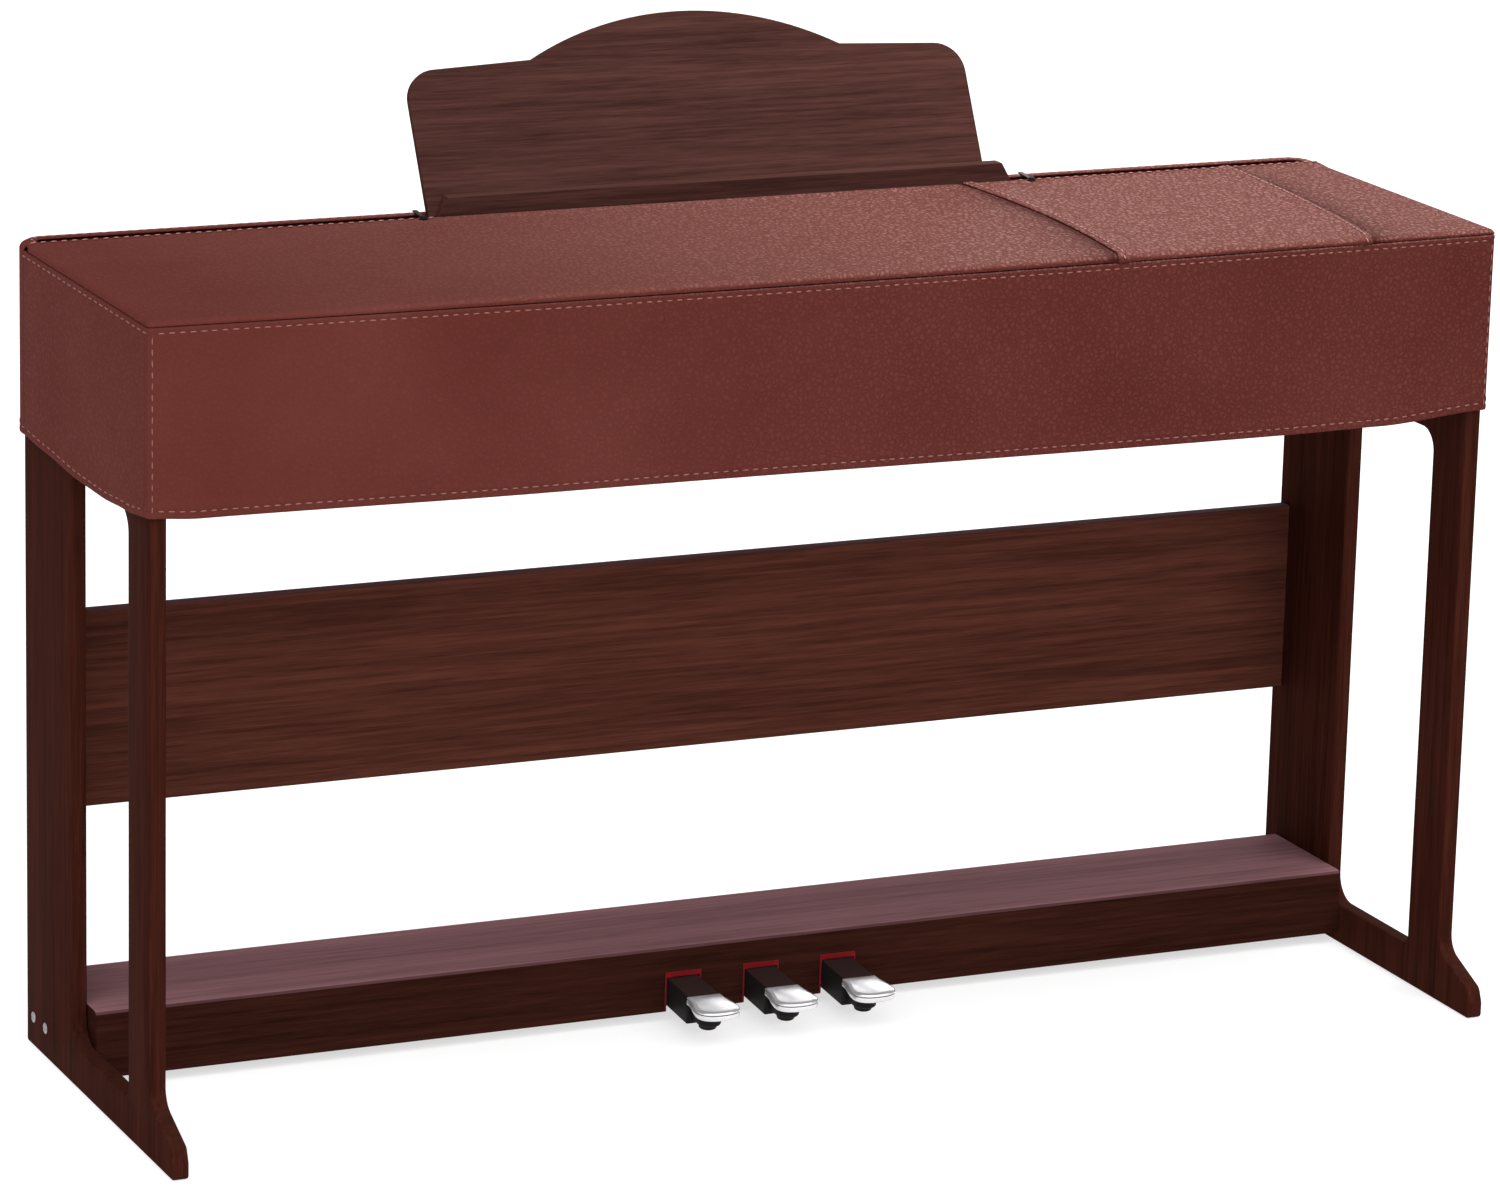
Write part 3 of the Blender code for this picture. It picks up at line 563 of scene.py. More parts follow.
# %% The middle panel of the top
def middle_top():
    columns = [("left", d) for d, _ in LAP_HEM] + [("between", t) for t in spread(0.0, 1.0, 0.026)[1:-1]]
    columns += [("right", d) for d, _ in LAP_HEM[::-1]]

    def place(column, row):
        kind, value = column
        y = top_y(row, (SEAM_LEFT[0] + SEAM_RIGHT[0]) / 2)
        left = seam_x(SEAM_LEFT, y)
        right = seam_x(SEAM_RIGHT, y)
        rise = row_rise(row)
        if kind == "between":
            wide = LAP_HEM[-1][0]
            x = left + wide + (right - left - 2 * wide) * value
        else:
            x = left + value if kind == "left" else right - value
            lap = read_table(LAP_HEM, value)
            rise = lap + rise if rise < 0 else max(lap, rise)
        return on_top(x, top_y(row, x), rise)

    return cloth_panel("top_cloth_middle", columns, TOP_ROWS, place)


top_middle = middle_top()
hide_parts("top_panel_middle")

# %% [markdown]
# ## The skirt
# Three panels and the rear band hang from the top. Each is a path in plan, with the way out at every point,
# times one upright profile. The profile starts inside: up the folded hem, round the fold, over the stitched
# band, up the plain cloth, and into the seam. The hem's height wanders by a few millimetres, as in any
# cover that has been pulled on by hand, and the cloth swells slightly between its corners.

# %% Hem heights and the swelling of the skirt
HEM_FRONT = [
    (-HALF, 0.6065), (-0.640, 0.6035), (-0.300, 0.6010), (0.450, 0.5975), (0.570, 0.5985), (HALF, 0.6065)]
HEM_END = [(0.0, 0.6065), (0.060, 0.6010), (0.125, 0.5978), (0.190, 0.5976), (0.290, 0.6015), (0.360, 0.6040)]
HEM_BAND = 0.0125           # height of the doubled hem
HEM_STITCH = 0.0072         # its stitches lie this far above its edge
TOP_STITCH = 0.0054         # the upper stitches lie this far below the seam
HEM_FOLD = 0.0012           # height of the hem's fold
FOLD_MIDDLE = -0.0012       # its middle lies this far inside the wall, and its faces this far from there
FOLD_HALF = 0.0013
SWELL = 0.0015              # the hanging cloth swells out by this much between its corners
SKIRT_WAVE = 0.0005
PUCKER = 0.00020
HEM_INSIDE = [(0.0115, -0.0024), (0.0060, -0.0025), (0.0014, -0.0024)]
HEM_OUTSIDE = [
    (0.0014, 0.0004), (0.0032, 0.0006), (0.0058, 0.0004), (HEM_STITCH, -0.0002), (0.0086, 0.0004),
    (0.0110, 0.0006), (HEM_BAND, 0.0004), (0.0140, 0.0),
]
PLAIN_FROM = HEM_OUTSIDE[-1][0]
SEAM_INSIDE = [
    (0.0120, 0.0), (0.0090, 0.0001), (0.0068, 0.0002), (TOP_STITCH, -0.0003), (0.0040, 0.0003),
    (0.0022, 0.0004), (0.0010, 0.0002), (0.0004, -0.0004), (0.0, -0.0012),
]


def swelling(share_along, share_up):
    return SWELL * sin(pi * min(max(share_along, 0), 1)) * sin(pi * (0.15 + 0.6 * (1 - share_up)))


def skirt_waves(at, z, up, seed):
    """Slow waves over the hanging cloth, and short puckers beside its stitched edges."""
    slow = SKIRT_WAVE * ripple(at, z * 0.7, 0, 0.16, seed) * sin(pi * min(max(up, 0), 1)) ** 0.5
    beside_edges = exp(-(1 - up) / 0.06) + exp(-up / 0.07)
    return slow + PUCKER * beside_edges * ripple(at, 0, 0, 0.012, seed + 5)


# %% Rows of a skirt panel
def skirt_rows():
    """Rows of (kind, height or share, way off the wall), from the inside of the hem to the seam."""
    rows = [("hem", dz, off) for dz, off in HEM_INSIDE]
    for k in range(1, 6):
        turn = pi * k / 6
        off = FOLD_MIDDLE - FOLD_HALF * cos(turn) + 0.0003 * k / 6
        rows.append(("hem", HEM_FOLD * (1 - sin(turn)) + 0.0002, off))
    rows += [("hem", dz, off) for dz, off in HEM_OUTSIDE]
    rows += [("plain", t, 0.0) for t in spread(0.0, 1.0, 0.04)[1:-1]]
    rows += [("seam", dz, off) for dz, off in SEAM_INSIDE]
    return rows


def skirt_height(row, hem, seam):
    kind, value, _ = row
    if kind == "hem":
        return hem + value
    if kind == "seam":
        return seam - value
    low = hem + PLAIN_FROM
    high = seam - SEAM_INSIDE[0][0]
    return low + (high - low) * value


SKIRT_ROWS = skirt_rows()
print("skirt rows:", len(SKIRT_ROWS))

# %% The front panel
SEAM_GAP = 0.0005
FRONT_RETURN = 0.002        # past each corner, the front panel runs back this far to its seam
STRAIGHT = HALF - FRONT_CORNER


def front_seam(x):
    """Height and place of the front seam at x, under the edge of the rolled top."""
    turn = (ROLL_LENGTH + seam_dip(x)) / ROLL
    return TOP - ROLL * (1 - cos(turn)) - SEAM_GAP, FLAT_Y - ROLL * sin(turn)


def front_point(column, row):
    kind, side, value = column
    x = value if kind == "front" else side * HALF
    hem = read_table(HEM_FRONT, x, smooth)
    seam, edge_y = front_seam(x)
    z = skirt_height(row, hem, seam)
    up = (z - hem) / (seam - hem)
    off = row[2]
    if kind == "front":
        share = (x + STRAIGHT) / (2 * STRAIGHT)
        away = edge_y - swelling(share, up) * smooth((1 - up) / 0.08)
        away -= skirt_waves(x, z, up, 1.3) * smooth((STRAIGHT - abs(x)) / 0.03)
        return Vector((x, away - off, z))
    if kind == "arc":
        out = Vector((side * sin(value), -cos(value), 0))
        middle = Vector((side * STRAIGHT, FRONT + FRONT_CORNER, z))
        return middle + out * (FRONT_CORNER + off)
    edge = 0.0 if value < FRONT_RETURN - 0.0001 else -0.0009
    return Vector((side * (HALF + off + edge), FRONT + FRONT_CORNER + value, z))


def front_panel():
    corner = [("arc", pi / 2 * k / 6) for k in range(1, 7)]
    corner += [("return", FRONT_RETURN * share) for share in (0.4, 0.85, 1.0)]
    columns = [(kind, -1, value) for kind, value in corner[::-1]]
    columns += [("front", 0, x) for x in spread(-STRAIGHT, STRAIGHT, 0.005)]
    columns += [(kind, 1, value) for kind, value in corner]
    return cloth_panel("front_cloth", columns, SKIRT_ROWS, front_point)


front = front_panel()
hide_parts("front_panel")

# %% The two end panels
END_START = FRONT + FRONT_CORNER + FRONT_RETURN + 0.0004
END_STOP = SLIT - 0.0003
END_EDGE = [(0.0, -0.0009), (0.0005, -0.0003), (0.0014, 0.0), (0.003, 0.0)]


def end_point(side, y, row):
    hem = read_table(HEM_END, y - FRONT, smooth)
    seam = TOP - SEAM_DROP - SEAM_GAP
    z = skirt_height(row, hem, seam)
    up = (z - hem) / (seam - hem)
    share = (y - END_START) / (SLIT - END_START)
    away = HALF + row[2] + swelling(share, up) * smooth((1 - up) / 0.08)
    beside = min(y - END_START, END_STOP - y)
    away += skirt_waves(y, z, up, 2.1 + side) * smooth(beside / 0.03)
    away += read_table(END_EDGE, beside)
    return Vector((side * away, y, z))


def end_panel(name, side):
    places = [END_START + e for e, _ in END_EDGE] + spread(END_START + 0.006, END_STOP - 0.006, 0.005)
    places += [END_STOP - e for e, _ in END_EDGE[::-1]]
    if side < 0:
        places = places[::-1]
    return cloth_panel(name, places, SKIRT_ROWS, lambda y, row: end_point(side, y, row))


end_left = end_panel("end_cloth_left", -1)
end_right = end_panel("end_cloth_right", 1)
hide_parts("end_panel_left")
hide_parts("end_panel_right")

# %% [markdown]
# ## The rear band
# One long panel wraps the back. It rises from its hem, turns over the rear edge with the same roll as the
# front, and ends in a hemmed strip behind the slit. Its path in plan is a U with round corners, so the strip
# rounds them too.

# %% The rear band
BAND_START = SLIT + 0.0003
CORNER_X = HALF - REAR_CORNER
CORNER_Y = BACK - REAR_CORNER
BAND_EDGE = [(0.0, -0.0009), (0.0006, -0.0002), (0.003, 0.0)]


def band_path():
    """Columns of the band: (foot of the wall, way out)."""
    end = [BAND_START + e for e, _ in BAND_EDGE] + spread(BAND_START + 0.005, CORNER_Y, 0.0025)[:-1]
    right_side = [(Vector((HALF, y, 0)), Vector((1, 0, 0))) for y in end]
    for k in range(17):
        turn = pi / 2 * k / 16
        out = Vector((cos(turn), sin(turn), 0))
        right_side.append((Vector((CORNER_X, CORNER_Y, 0)) + out * REAR_CORNER, out))
    back = [(Vector((x, BACK, 0)), Vector((0, 1, 0))) for x in spread(CORNER_X, -CORNER_X, 0.006)[1:-1]]
    left_side = [(Vector((-foot.x, foot.y, 0)), Vector((-out.x, out.y, 0))) for foot, out in right_side[::-1]]
    return right_side + back + left_side


def band_point(column, row):
    foot, out = column
    kind, value, off = row
    if kind == "turn":
        inward = ROLL * (1 - cos(value)) - off * cos(value)
        return foot - out * inward + Vector((0, 0, TOP - ROLL + ROLL * sin(value)))
    if kind == "strip":
        return foot - out * value + Vector((0, 0, TOP + off))
    hem = read_table(HEM_END, foot.y - FRONT, smooth)
    z = hem + value if kind == "hem" else hem + PLAIN_FROM + (TOP - ROLL - hem - PLAIN_FROM) * value
    up = (z - hem) / (TOP - ROLL - hem)
    lift = off + read_table(BAND_EDGE, foot.y - BAND_START)
    if abs(out.y) > 0.999:
        inner = smooth((CORNER_X - abs(foot.x)) / 0.08)
        lift += inner * (skirt_waves(foot.x, z, up, 4.4) + swelling(0.5, up) * sin(pi * min(up, 1)) * 0.8)
    return foot + out * lift + Vector((0, 0, z))


def rear_band():
    rows = [row for row in SKIRT_ROWS if row[0] != "seam"]
    rows += [("turn", pi / 2 * k / 10, 0.0) for k in range(10)]
    rows += [("strip", STRIP - e, rise) for e, rise in SLIT_HEM[::-1] if e < STRIP - ROLL - 0.0001]
    return cloth_panel("rear_cloth", band_path(), rows, band_point)


rear = rear_band()
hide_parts("rear_panel")

# %% [markdown]
# ## Stitches
# About eight hundred stitches follow the seams, so Geometry Nodes lay them. A row is a line of points, each
# with the cloth's way out stored as an attribute. The tree turns the line into a curve, cuts it at the
# stitch pitch, and sets one short thread on each point: its length along the curve and its back to the
# cloth. Small random turns keep the row from looking printed.

# %% The stitch-laying tree
def stitch_tree():
    tree = bpy.data.node_groups.new("lay_stitches", "GeometryNodeTree")
    face = tree.interface
    face.new_socket("Rows", in_out="INPUT", socket_type="NodeSocketGeometry")
    for name, value in (("Pitch", 0.0100), ("Length", 0.0066), ("Width", 0.0013), ("Height", 0.0012)):
        face.new_socket(name, in_out="INPUT", socket_type="NodeSocketFloat").default_value = value
    face.new_socket("Seed", in_out="INPUT", socket_type="NodeSocketInt")
    face.new_socket("Thread", in_out="INPUT", socket_type="NodeSocketMaterial")
    face.new_socket("Stitches", in_out="OUTPUT", socket_type="NodeSocketGeometry")
    given = tree.nodes.new("NodeGroupInput").outputs

    def first(kind, inputs=(), settings=()):
        """A new node's first output."""
        return node(tree, kind, settings, inputs).outputs[0]

    def random_vector(low, high):
        inputs = {"Min": low, "Max": high, "Seed": given["Seed"]}
        return first("FunctionNodeRandomValue", inputs, {"data_type": "FLOAT_VECTOR"})

    ball = first("GeometryNodeMeshUVSphere", {"Segments": 8, "Rings": 6, "Radius": 1.0})
    half = [maths(tree, "MULTIPLY", given[name], 0.5) for name in ("Length", "Width", "Height")]
    half_sizes = first("ShaderNodeCombineXYZ", dict(enumerate(half)))
    thread = first("GeometryNodeTransform", {"Geometry": ball, "Scale": half_sizes})
    curve = first("GeometryNodeMeshToCurve", {"Mesh": given["Rows"]})
    inputs = {"Curve": curve, "Length": given["Pitch"]}
    points = first("GeometryNodeResampleCurve", inputs, {"mode": "LENGTH"})
    out = first("GeometryNodeInputNamedAttribute", {"Name": "out"}, {"data_type": "FLOAT_VECTOR"})
    along = first("GeometryNodeInputTangent")
    lengthwise = first("FunctionNodeAlignRotationToVector", {"Vector": along}, {"axis": "X"})
    inputs = {"Rotation": lengthwise, "Vector": out}
    upright = first("FunctionNodeAlignRotationToVector", inputs, {"axis": "Z", "pivot_axis": "X"})
    sway = random_vector((-0.03, -0.04, -0.045), (0.03, 0.04, 0.045))
    size = random_vector((0.92, 0.9, 0.9), (1.06, 1.08, 1.08))
    turn = first("FunctionNodeEulerToRotation", {"Euler": sway})
    inputs = {"Rotation": upright, "Rotate By": turn}
    turned = first("FunctionNodeRotateRotation", inputs, {"rotation_space": "LOCAL"})
    inputs = {"Points": points, "Instance": thread, "Rotation": turned, "Scale": size}
    laid = first("GeometryNodeInstanceOnPoints", inputs)
    real = first("GeometryNodeRealizeInstances", {"Geometry": laid})
    soft = first("GeometryNodeSetShadeSmooth", {"Geometry": real})
    dressed = first("GeometryNodeSetMaterial", {"Geometry": soft, "Material": given["Thread"]})
    node(tree, "NodeGroupOutput", {}, {"Stitches": dressed})
    return tree


STITCH_TREE = stitch_tree()

# %% Laying rows of stitches
def rows_mesh(name, rows):
    """One line of points for each row, with the cloth's way out as an attribute."""
    points = []
    edges = []
    for row in rows:
        edges += [(len(points) + k, len(points) + k + 1) for k in range(len(row) - 1)]
        points += row
    mesh = bpy.data.meshes.new(name)
    mesh.from_pydata([p for p, _ in points], edges, [])
    store = mesh.attributes.new("out", "FLOAT_VECTOR", "POINT")
    for k, (_, out) in enumerate(points):
        store.data[k].vector = out
    return mesh


def final_mesh(made, **options):
    """The mesh that an object's modifiers or curve make. The object itself is used up."""
    view = bpy.context.evaluated_depsgraph_get()
    mesh = bpy.data.meshes.new_from_object(made.evaluated_get(view), **options)
    bpy.data.objects.remove(made)
    return mesh


def stitches(name, rows, seed, **sizes):
    """Runs the tree on rows of points, and keeps the stitches as a plain mesh."""
    guide = make_object(name + "_guide", rows_mesh(name, rows), THREAD)
    grow = guide.modifiers.new("grow", "NODES")
    grow.node_group = STITCH_TREE
    values = {"Seed": seed, "Thread": THREAD, **sizes}
    for item in STITCH_TREE.interface.items_tree:
        if item.item_type == "SOCKET" and item.in_out == "INPUT" and item.name in values:
            grow[item.identifier] = values[item.name]
    made = make_object(name, final_mesh(guide), THREAD)
    print(name, len(made.data.polygons), "faces")
    return made


THREAD_LIFT = 0.0003        # a stitch's middle stands this far off the pinched cloth
TOP_THREAD = {"Width": 0.0020, "Height": 0.0017}
END_THREAD = {"Pitch": 0.0150, "Length": 0.0100, "Width": 0.0015}
REST_GAP = (-0.2830, 0.3480)            # the rest's ledge hides the slit's hem between these
SLIT_REACH = 0.6820         # the slit's stitches stop this far from the middle
FRONT_REACH = 0.6770

# %% Rows on the top panels
def top_row_point(x, y, rise):
    out = (on_top(x, y, rise + 0.001) - on_top(x, y, rise)).normalized()
    return on_top(x, y, rise + 0.0009), out


def slit_row(start, end):
    """A row along the hem beside the slit."""
    inset = 0.0046
    rise = read_table(SLIT_HEM, inset)
    return [top_row_point(x, slit_edge(x) - inset, rise) for x in spread(start, end, 0.003)]


def lap_row(seam, side):
    """A row inside a curved seam of the middle panel, from the slit to the front seam."""
    rise = read_table(LAP_HEM, STITCH_IN)
    places = spread(SLIT - 0.006, FLAT_Y - ROLL_LENGTH + 0.002, 0.004)
    return [top_row_point(seam_x(seam, y) + side * STITCH_IN, y, rise) for y in places]


lap_rows = [lap_row(SEAM_LEFT, 1), lap_row(SEAM_RIGHT, -1)]
stitch_left = stitches("stitches_top_left", [slit_row(-SLIT_REACH, REST_GAP[0])], 3, **TOP_THREAD)
stitch_middle = stitches(
    "stitches_top_middle", [slit_row(REST_GAP[1], SEAM_RIGHT[0] - 0.012)] + lap_rows, 5, **TOP_THREAD)
stitch_right = stitches("stitches_top_right", [slit_row(SEAM_RIGHT[0] + 0.004, SLIT_REACH)], 7, **TOP_THREAD)

# %% Rows on the skirt
def find_row(kind, value):
    return next(row for row in SKIRT_ROWS if row[0] == kind and abs(row[1] - value) < 1e-9)


HEM_ROW = find_row("hem", HEM_STITCH)
SEAM_ROW = find_row("seam", TOP_STITCH)
TOWARDS_PLAYER = Vector((0, -1, 0))


def lifted(points, out):
    """A row of threads just off the cloth, all facing the same way."""
    return [(point + out * THREAD_LIFT, out) for point in points]


def front_row(row):
    places = spread(-FRONT_REACH, FRONT_REACH, 0.004)
    return lifted([front_point(("front", 0, x), row) for x in places], TOWARDS_PLAYER)


def corner_row(side):
    """The upright row beside a front corner, through both layers of the corner seam."""
    column = ("front", 0, side * (STRAIGHT + 0.0005))
    flat_rows = [(kind, value, 0.0) for kind, value, _ in SKIRT_ROWS[12:-8]]
    return lifted([front_point(column, row) for row in flat_rows], TOWARDS_PLAYER)


def end_row(side, row, start, stop):
    return lifted([end_point(side, y, row) for y in spread(start, stop, 0.004)], Vector((side, 0, 0)))


def band_row(row):
    line = []
    for column in band_path()[2:-2]:
        way = column[1] if row[0] == "hem" else Vector((0, 0, 1))
        line.append((band_point(column, row) + way * THREAD_LIFT, way))
    return line


front_rows = [front_row(SEAM_ROW), front_row(HEM_ROW), corner_row(-1), corner_row(1)]
stitch_front = stitches("stitches_front", front_rows, 11)
stitch_ends = []
for side, word in ((-1, "left"), (1, "right")):
    upper = end_row(side, SEAM_ROW, END_START + 0.001, END_STOP - 0.002)
    lines = [upper, end_row(side, HEM_ROW, END_START, END_STOP)]
    stitch_ends.append(stitches("stitches_end_" + word, lines, 13 + side, **END_THREAD))
strip_row = ("strip", STRIP - 0.0042, 0.0010)
stitch_rear = stitches("stitches_rear", [band_row(HEM_ROW), band_row(strip_row)], 17, Width=0.0018)

# %% [markdown]
# ## The cloth's panels and stitches
# Each panel is listed with the flat size that it was cut to, hems and laps included, and with its stitches.
# All of it rides on the piano's own body, because nothing of the cover moves.

# %% Sheets and what they ride on
TOP_LONG = 0.384            # slit to front seam, with the hem and the seam's allowance
SKIRT_LONG = 0.196          # top seam to hem, with both turned in
sheets = [
    (top_left, (0.997, TOP_LONG), 0.380, "stretched", [stitch_left]),
    (top_middle, (0.326, TOP_LONG), 0.120, "stretched", [stitch_middle]),
    (top_right, (0.160, TOP_LONG), 0.055, "stretched", [stitch_right]),
    (front, (1.394, SKIRT_LONG), None, "hung", [stitch_front]),
    (end_left, (0.350, SKIRT_LONG), None, "hung", [stitch_ends[0]]),
    (end_right, (0.350, SKIRT_LONG), None, "hung", [stitch_ends[1]]),
    (rear, (1.430, 0.220), None, "hung", [stitch_rear]),
]
for panel, flat, area, held, sewn in sheets:
    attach(panel, "piano")
    for row in sewn:
        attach(row, "piano")
    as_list(sewn)

# %% [markdown]
# ## Boards with holes and rounded corners
# The side frames and the music rest are flat boards cut to a curve. A 2D curve gives the outline, extruded
# to the board's thickness with a small bevel for its eased edges. It is then turned into a mesh and set in
# place, so that the object itself stays at the origin.

# %% A flat board from its outline
def rounded(corners, steps=10):
    """A closed outline from corners (a, b, radius)."""
    points = []
    for i, (a, b, radius) in enumerate(corners):
        here = Vector((a, b))
        if radius == 0:
            points.append(here)
            continue
        before = (Vector(corners[i - 1][:2]) - here).normalized()
        after = (Vector(corners[(i + 1) % len(corners)][:2]) - here).normalized()
        half_angle = before.angle(after) / 2
        centre = here + (before + after).normalized() * (radius / sin(half_angle))
        reach = radius / tan(half_angle)
        start = here + before * reach - centre
        end = here + after * reach - centre
        swing = start.angle_signed(end)
        for k in range(steps + 1):
            points.append(centre + Matrix.Rotation(-swing * k / steps, 2) @ start)
    return points


def mesh_from(shape, name, sharp=None):
    """A smooth mesh from a bmesh, with its edges sharp beyond an angle in degrees."""
    bmesh.ops.recalc_face_normals(shape, faces=shape.faces)
    mesh = bpy.data.meshes.new(name)
    shape.to_mesh(mesh)
    shape.free()
    mesh.shade_smooth()
    if sharp:
        mesh.set_sharp_from_angle(angle=radians(sharp))
    return mesh


def plate(name, outlines, thickness, finish_used, edge, steps, place):
    curve = bpy.data.curves.new(name, "CURVE")
    curve.dimensions = "2D"
    curve.fill_mode = "BOTH"
    curve.extrude = thickness / 2 - edge
    curve.bevel_depth = edge
    curve.bevel_resolution = steps
    curve.offset = -edge
    for outline in outlines:
        line = curve.splines.new("POLY")
        line.points.add(len(outline) - 1)
        for point, (a, b) in zip(line.points, outline):
            point.co = (a, b, 0, 1)
        line.use_cyclic_u = True
    drawn = bpy.data.objects.new(name, curve)
    scene.collection.objects.link(drawn)
    shape = bmesh.new()
    shape.from_mesh(final_mesh(drawn))
    bmesh.ops.remove_doubles(shape, verts=shape.verts, dist=0.00001)
    mesh = mesh_from(shape, name, 28)
    mesh.transform(place)
    return make_object(name, mesh, finish_used)


# %% [markdown]
# ## Side frames
# Each end of the stand is one board with a tall window. Its front post runs down into a toe that reaches
# forward along the floor. The right-hand window is a little lower at the top than the left one.

# %% The two side frames
POST_FRONT = MID_Y - 0.1915
POST_REAR = MID_Y + 0.172
FRAME_TOP = 0.6167
TOE_FRONT = -0.2604
WINDOW_FRONT = MID_Y - 0.130
WINDOW_REAR = MID_Y + 0.036
WINDOW_SILL = 0.040
FRAME_X = 0.686
FRAME_BOARD = 0.016
UPRIGHT = Matrix.Rotation(pi / 2, 4, "Z") @ Matrix.Rotation(pi / 2, 4, "X")


def side_frame(word, side, window_top):
    rim = rounded([
        (POST_REAR, 0.0, 0.003), (POST_REAR, FRAME_TOP, 0.002), (POST_FRONT, FRAME_TOP, 0.002),
        (POST_FRONT, 0.054, 0.022), (TOE_FRONT + 0.006, 0.030, 0.010), (TOE_FRONT, 0.016, 0.010),
        (TOE_FRONT, 0.0, 0.004),
    ])
    window = rounded([
        (WINDOW_FRONT, WINDOW_SILL, 0.010), (WINDOW_REAR, WINDOW_SILL, 0.026),
        (WINDOW_REAR, window_top, 0.012), (WINDOW_FRONT, window_top, 0.022),
    ])
    place = Matrix.Translation((side * (FRAME_X - FRAME_BOARD / 2), 0, 0)) @ UPRIGHT
    made = plate("frame_board_" + word, [rim, window], FRAME_BOARD, FRAME_WOOD, 0.0022, 3, place)
    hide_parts("side_frame_" + word)
    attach(made, "piano")


side_frame("left", -1, 0.600)
side_frame("right", 1, 0.572)

# %% [markdown]
# ## Boards that keep their solid's shape
# The case, the back board and the pedal box are plain in the real piano too, so their solids stay and only
# take the finish. The case shows only as a dark line inside the slit.

# %% Wood on the plain boards
for name, wood in (("piano_case", CASE_WOOD), ("back_board", BOARD_WOOD), ("pedal_box", BOX_WOOD)):
    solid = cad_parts[name]
    solid.data.materials.clear()
    solid.data.materials.append(wood)

# %% [markdown]
# ## Music rest
# The rest is a thin walnut board with square shoulders and an arched crown. It leans back through the slit,
# and a narrow ledge along its foot holds the sheets of music.

# %% The rest's board
REST_HALF = 0.2985
REST_THICK = 0.007
REST_LEAN = radians(28)
REST_FOOT_Y = MID_Y + 0.1685
SHOULDER = (0.146, 0.031)   # height along the board, and radius
CROWN_HALF = 0.166
CROWN_FOOT = 0.152
CROWN_TOP = 0.194


def rest_board():
    foot = -0.0007 / cos(REST_LEAN)
    rise = CROWN_TOP - CROWN_FOOT
    bow = (CROWN_HALF ** 2 + rise ** 2) / (2 * rise)
    half_arc = asin(CROWN_HALF / bow)
    turns = [half_arc * (1 - k / 16) for k in range(33)]
    crown = [(bow * sin(a), CROWN_TOP - bow * (1 - cos(a)), 0) for a in turns]
    corners = [(-REST_HALF, foot, 0.002), (REST_HALF, foot, 0.002), (REST_HALF, *SHOULDER)]
    corners += crown + [(-REST_HALF, *SHOULDER)]
    back = REST_THICK / 2
    middle = (CENTRE_X, REST_FOOT_Y + back * cos(REST_LEAN), TOP - back * sin(REST_LEAN))
    place = Matrix.Translation(middle) @ Matrix.Rotation(pi / 2 - REST_LEAN, 4, "X")
    made = plate("rest_board", [rounded(corners)], REST_THICK, REST_WOOD, 0.0012, 3, place)
    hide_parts("music_rest_board")
    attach(made, "piano")


rest_board()

# %% The rest's ledge
LEDGE_FRONT = MID_Y + 0.1625
LEDGE_TOP = 0.806
LEDGE_LOW = 0.7850
LEDGE_X = CENTRE_X + 0.016
LEDGE_HALF_TOP = 0.2965
LEDGE_HALF_LOW = 0.3085


def rest_ledge():
    shape = bmesh.new()
    bmesh.ops.create_cube(shape, size=1.0)
    for v in shape.verts:
        z, half = (LEDGE_TOP, LEDGE_HALF_TOP) if v.co.z > 0 else (LEDGE_LOW, LEDGE_HALF_LOW)
        behind = REST_FOOT_Y + (z - TOP) * tan(REST_LEAN) - 0.00034
        x = LEDGE_X + (half if v.co.x > 0 else -half)
        v.co = (x, behind if v.co.y > 0 else LEDGE_FRONT, z)
    rim = [e for e in shape.edges if any(v.co.z > TOP for v in e.verts)]
    bmesh.ops.bevel(
        shape, geom=rim, offset=0.0013, segments=3, profile=0.6, affect="EDGES", clamp_overlap=True)
    made = make_object("rest_ledge", mesh_from(shape, "rest_ledge", 28), REST_WOOD)
    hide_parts("music_rest_ledge")
    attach(made, "piano")


rest_ledge()

# %% [markdown]
# ## Pedal toes
# Each toe is a polished cap, wider at its nose than where it meets the black lever. The cap's outline is
# stacked in rings: a rim below, a fine groove, a thick lip, and a gently crowned top.

# %% A polished toe cap
PEDAL_X = {"left": CENTRE_X - 0.0835, "middle": CENTRE_X, "right": CENTRE_X + 0.0835}
BOX_FRONT = MID_Y + 0.010
PIVOT = Vector((0, BOX_FRONT + 0.045, 0.040))
PEDAL_TURN = Matrix.Translation(PIVOT) @ Matrix.Rotation(radians(4), 4, "X") @ Matrix.Translation(-PIVOT)
CAP_TIP = BOX_FRONT - 0.100
CAP_END = BOX_FRONT - 0.0503
CAP_BACK_HALF = 0.0178
CAP_HALF = 0.0225
CAP_NOSE = 0.017
CAP_LOW = 0.0395
CAP_RINGS = [               # height, way in from the outline, painted shade
    (0.0, 0.0026, 0.35), (0.0004, 0.0012, 0.35), (0.0012, 0.0003, 0.0), (0.0026, 0.0, 0.0),
    (0.0046, 0.0, 0.0), (0.0056, 0.0002, 0.0), (0.0059, 0.0012, 1.0), (0.0063, 0.0012, 1.0),
    (0.0066, 0.0003, 0.0), (0.0076, 0.0002, 0.0), (0.0086, 0.0009, 0.0), (0.0091, 0.0022, 0.0),
    (0.0093, 0.0050, 0.0),
]


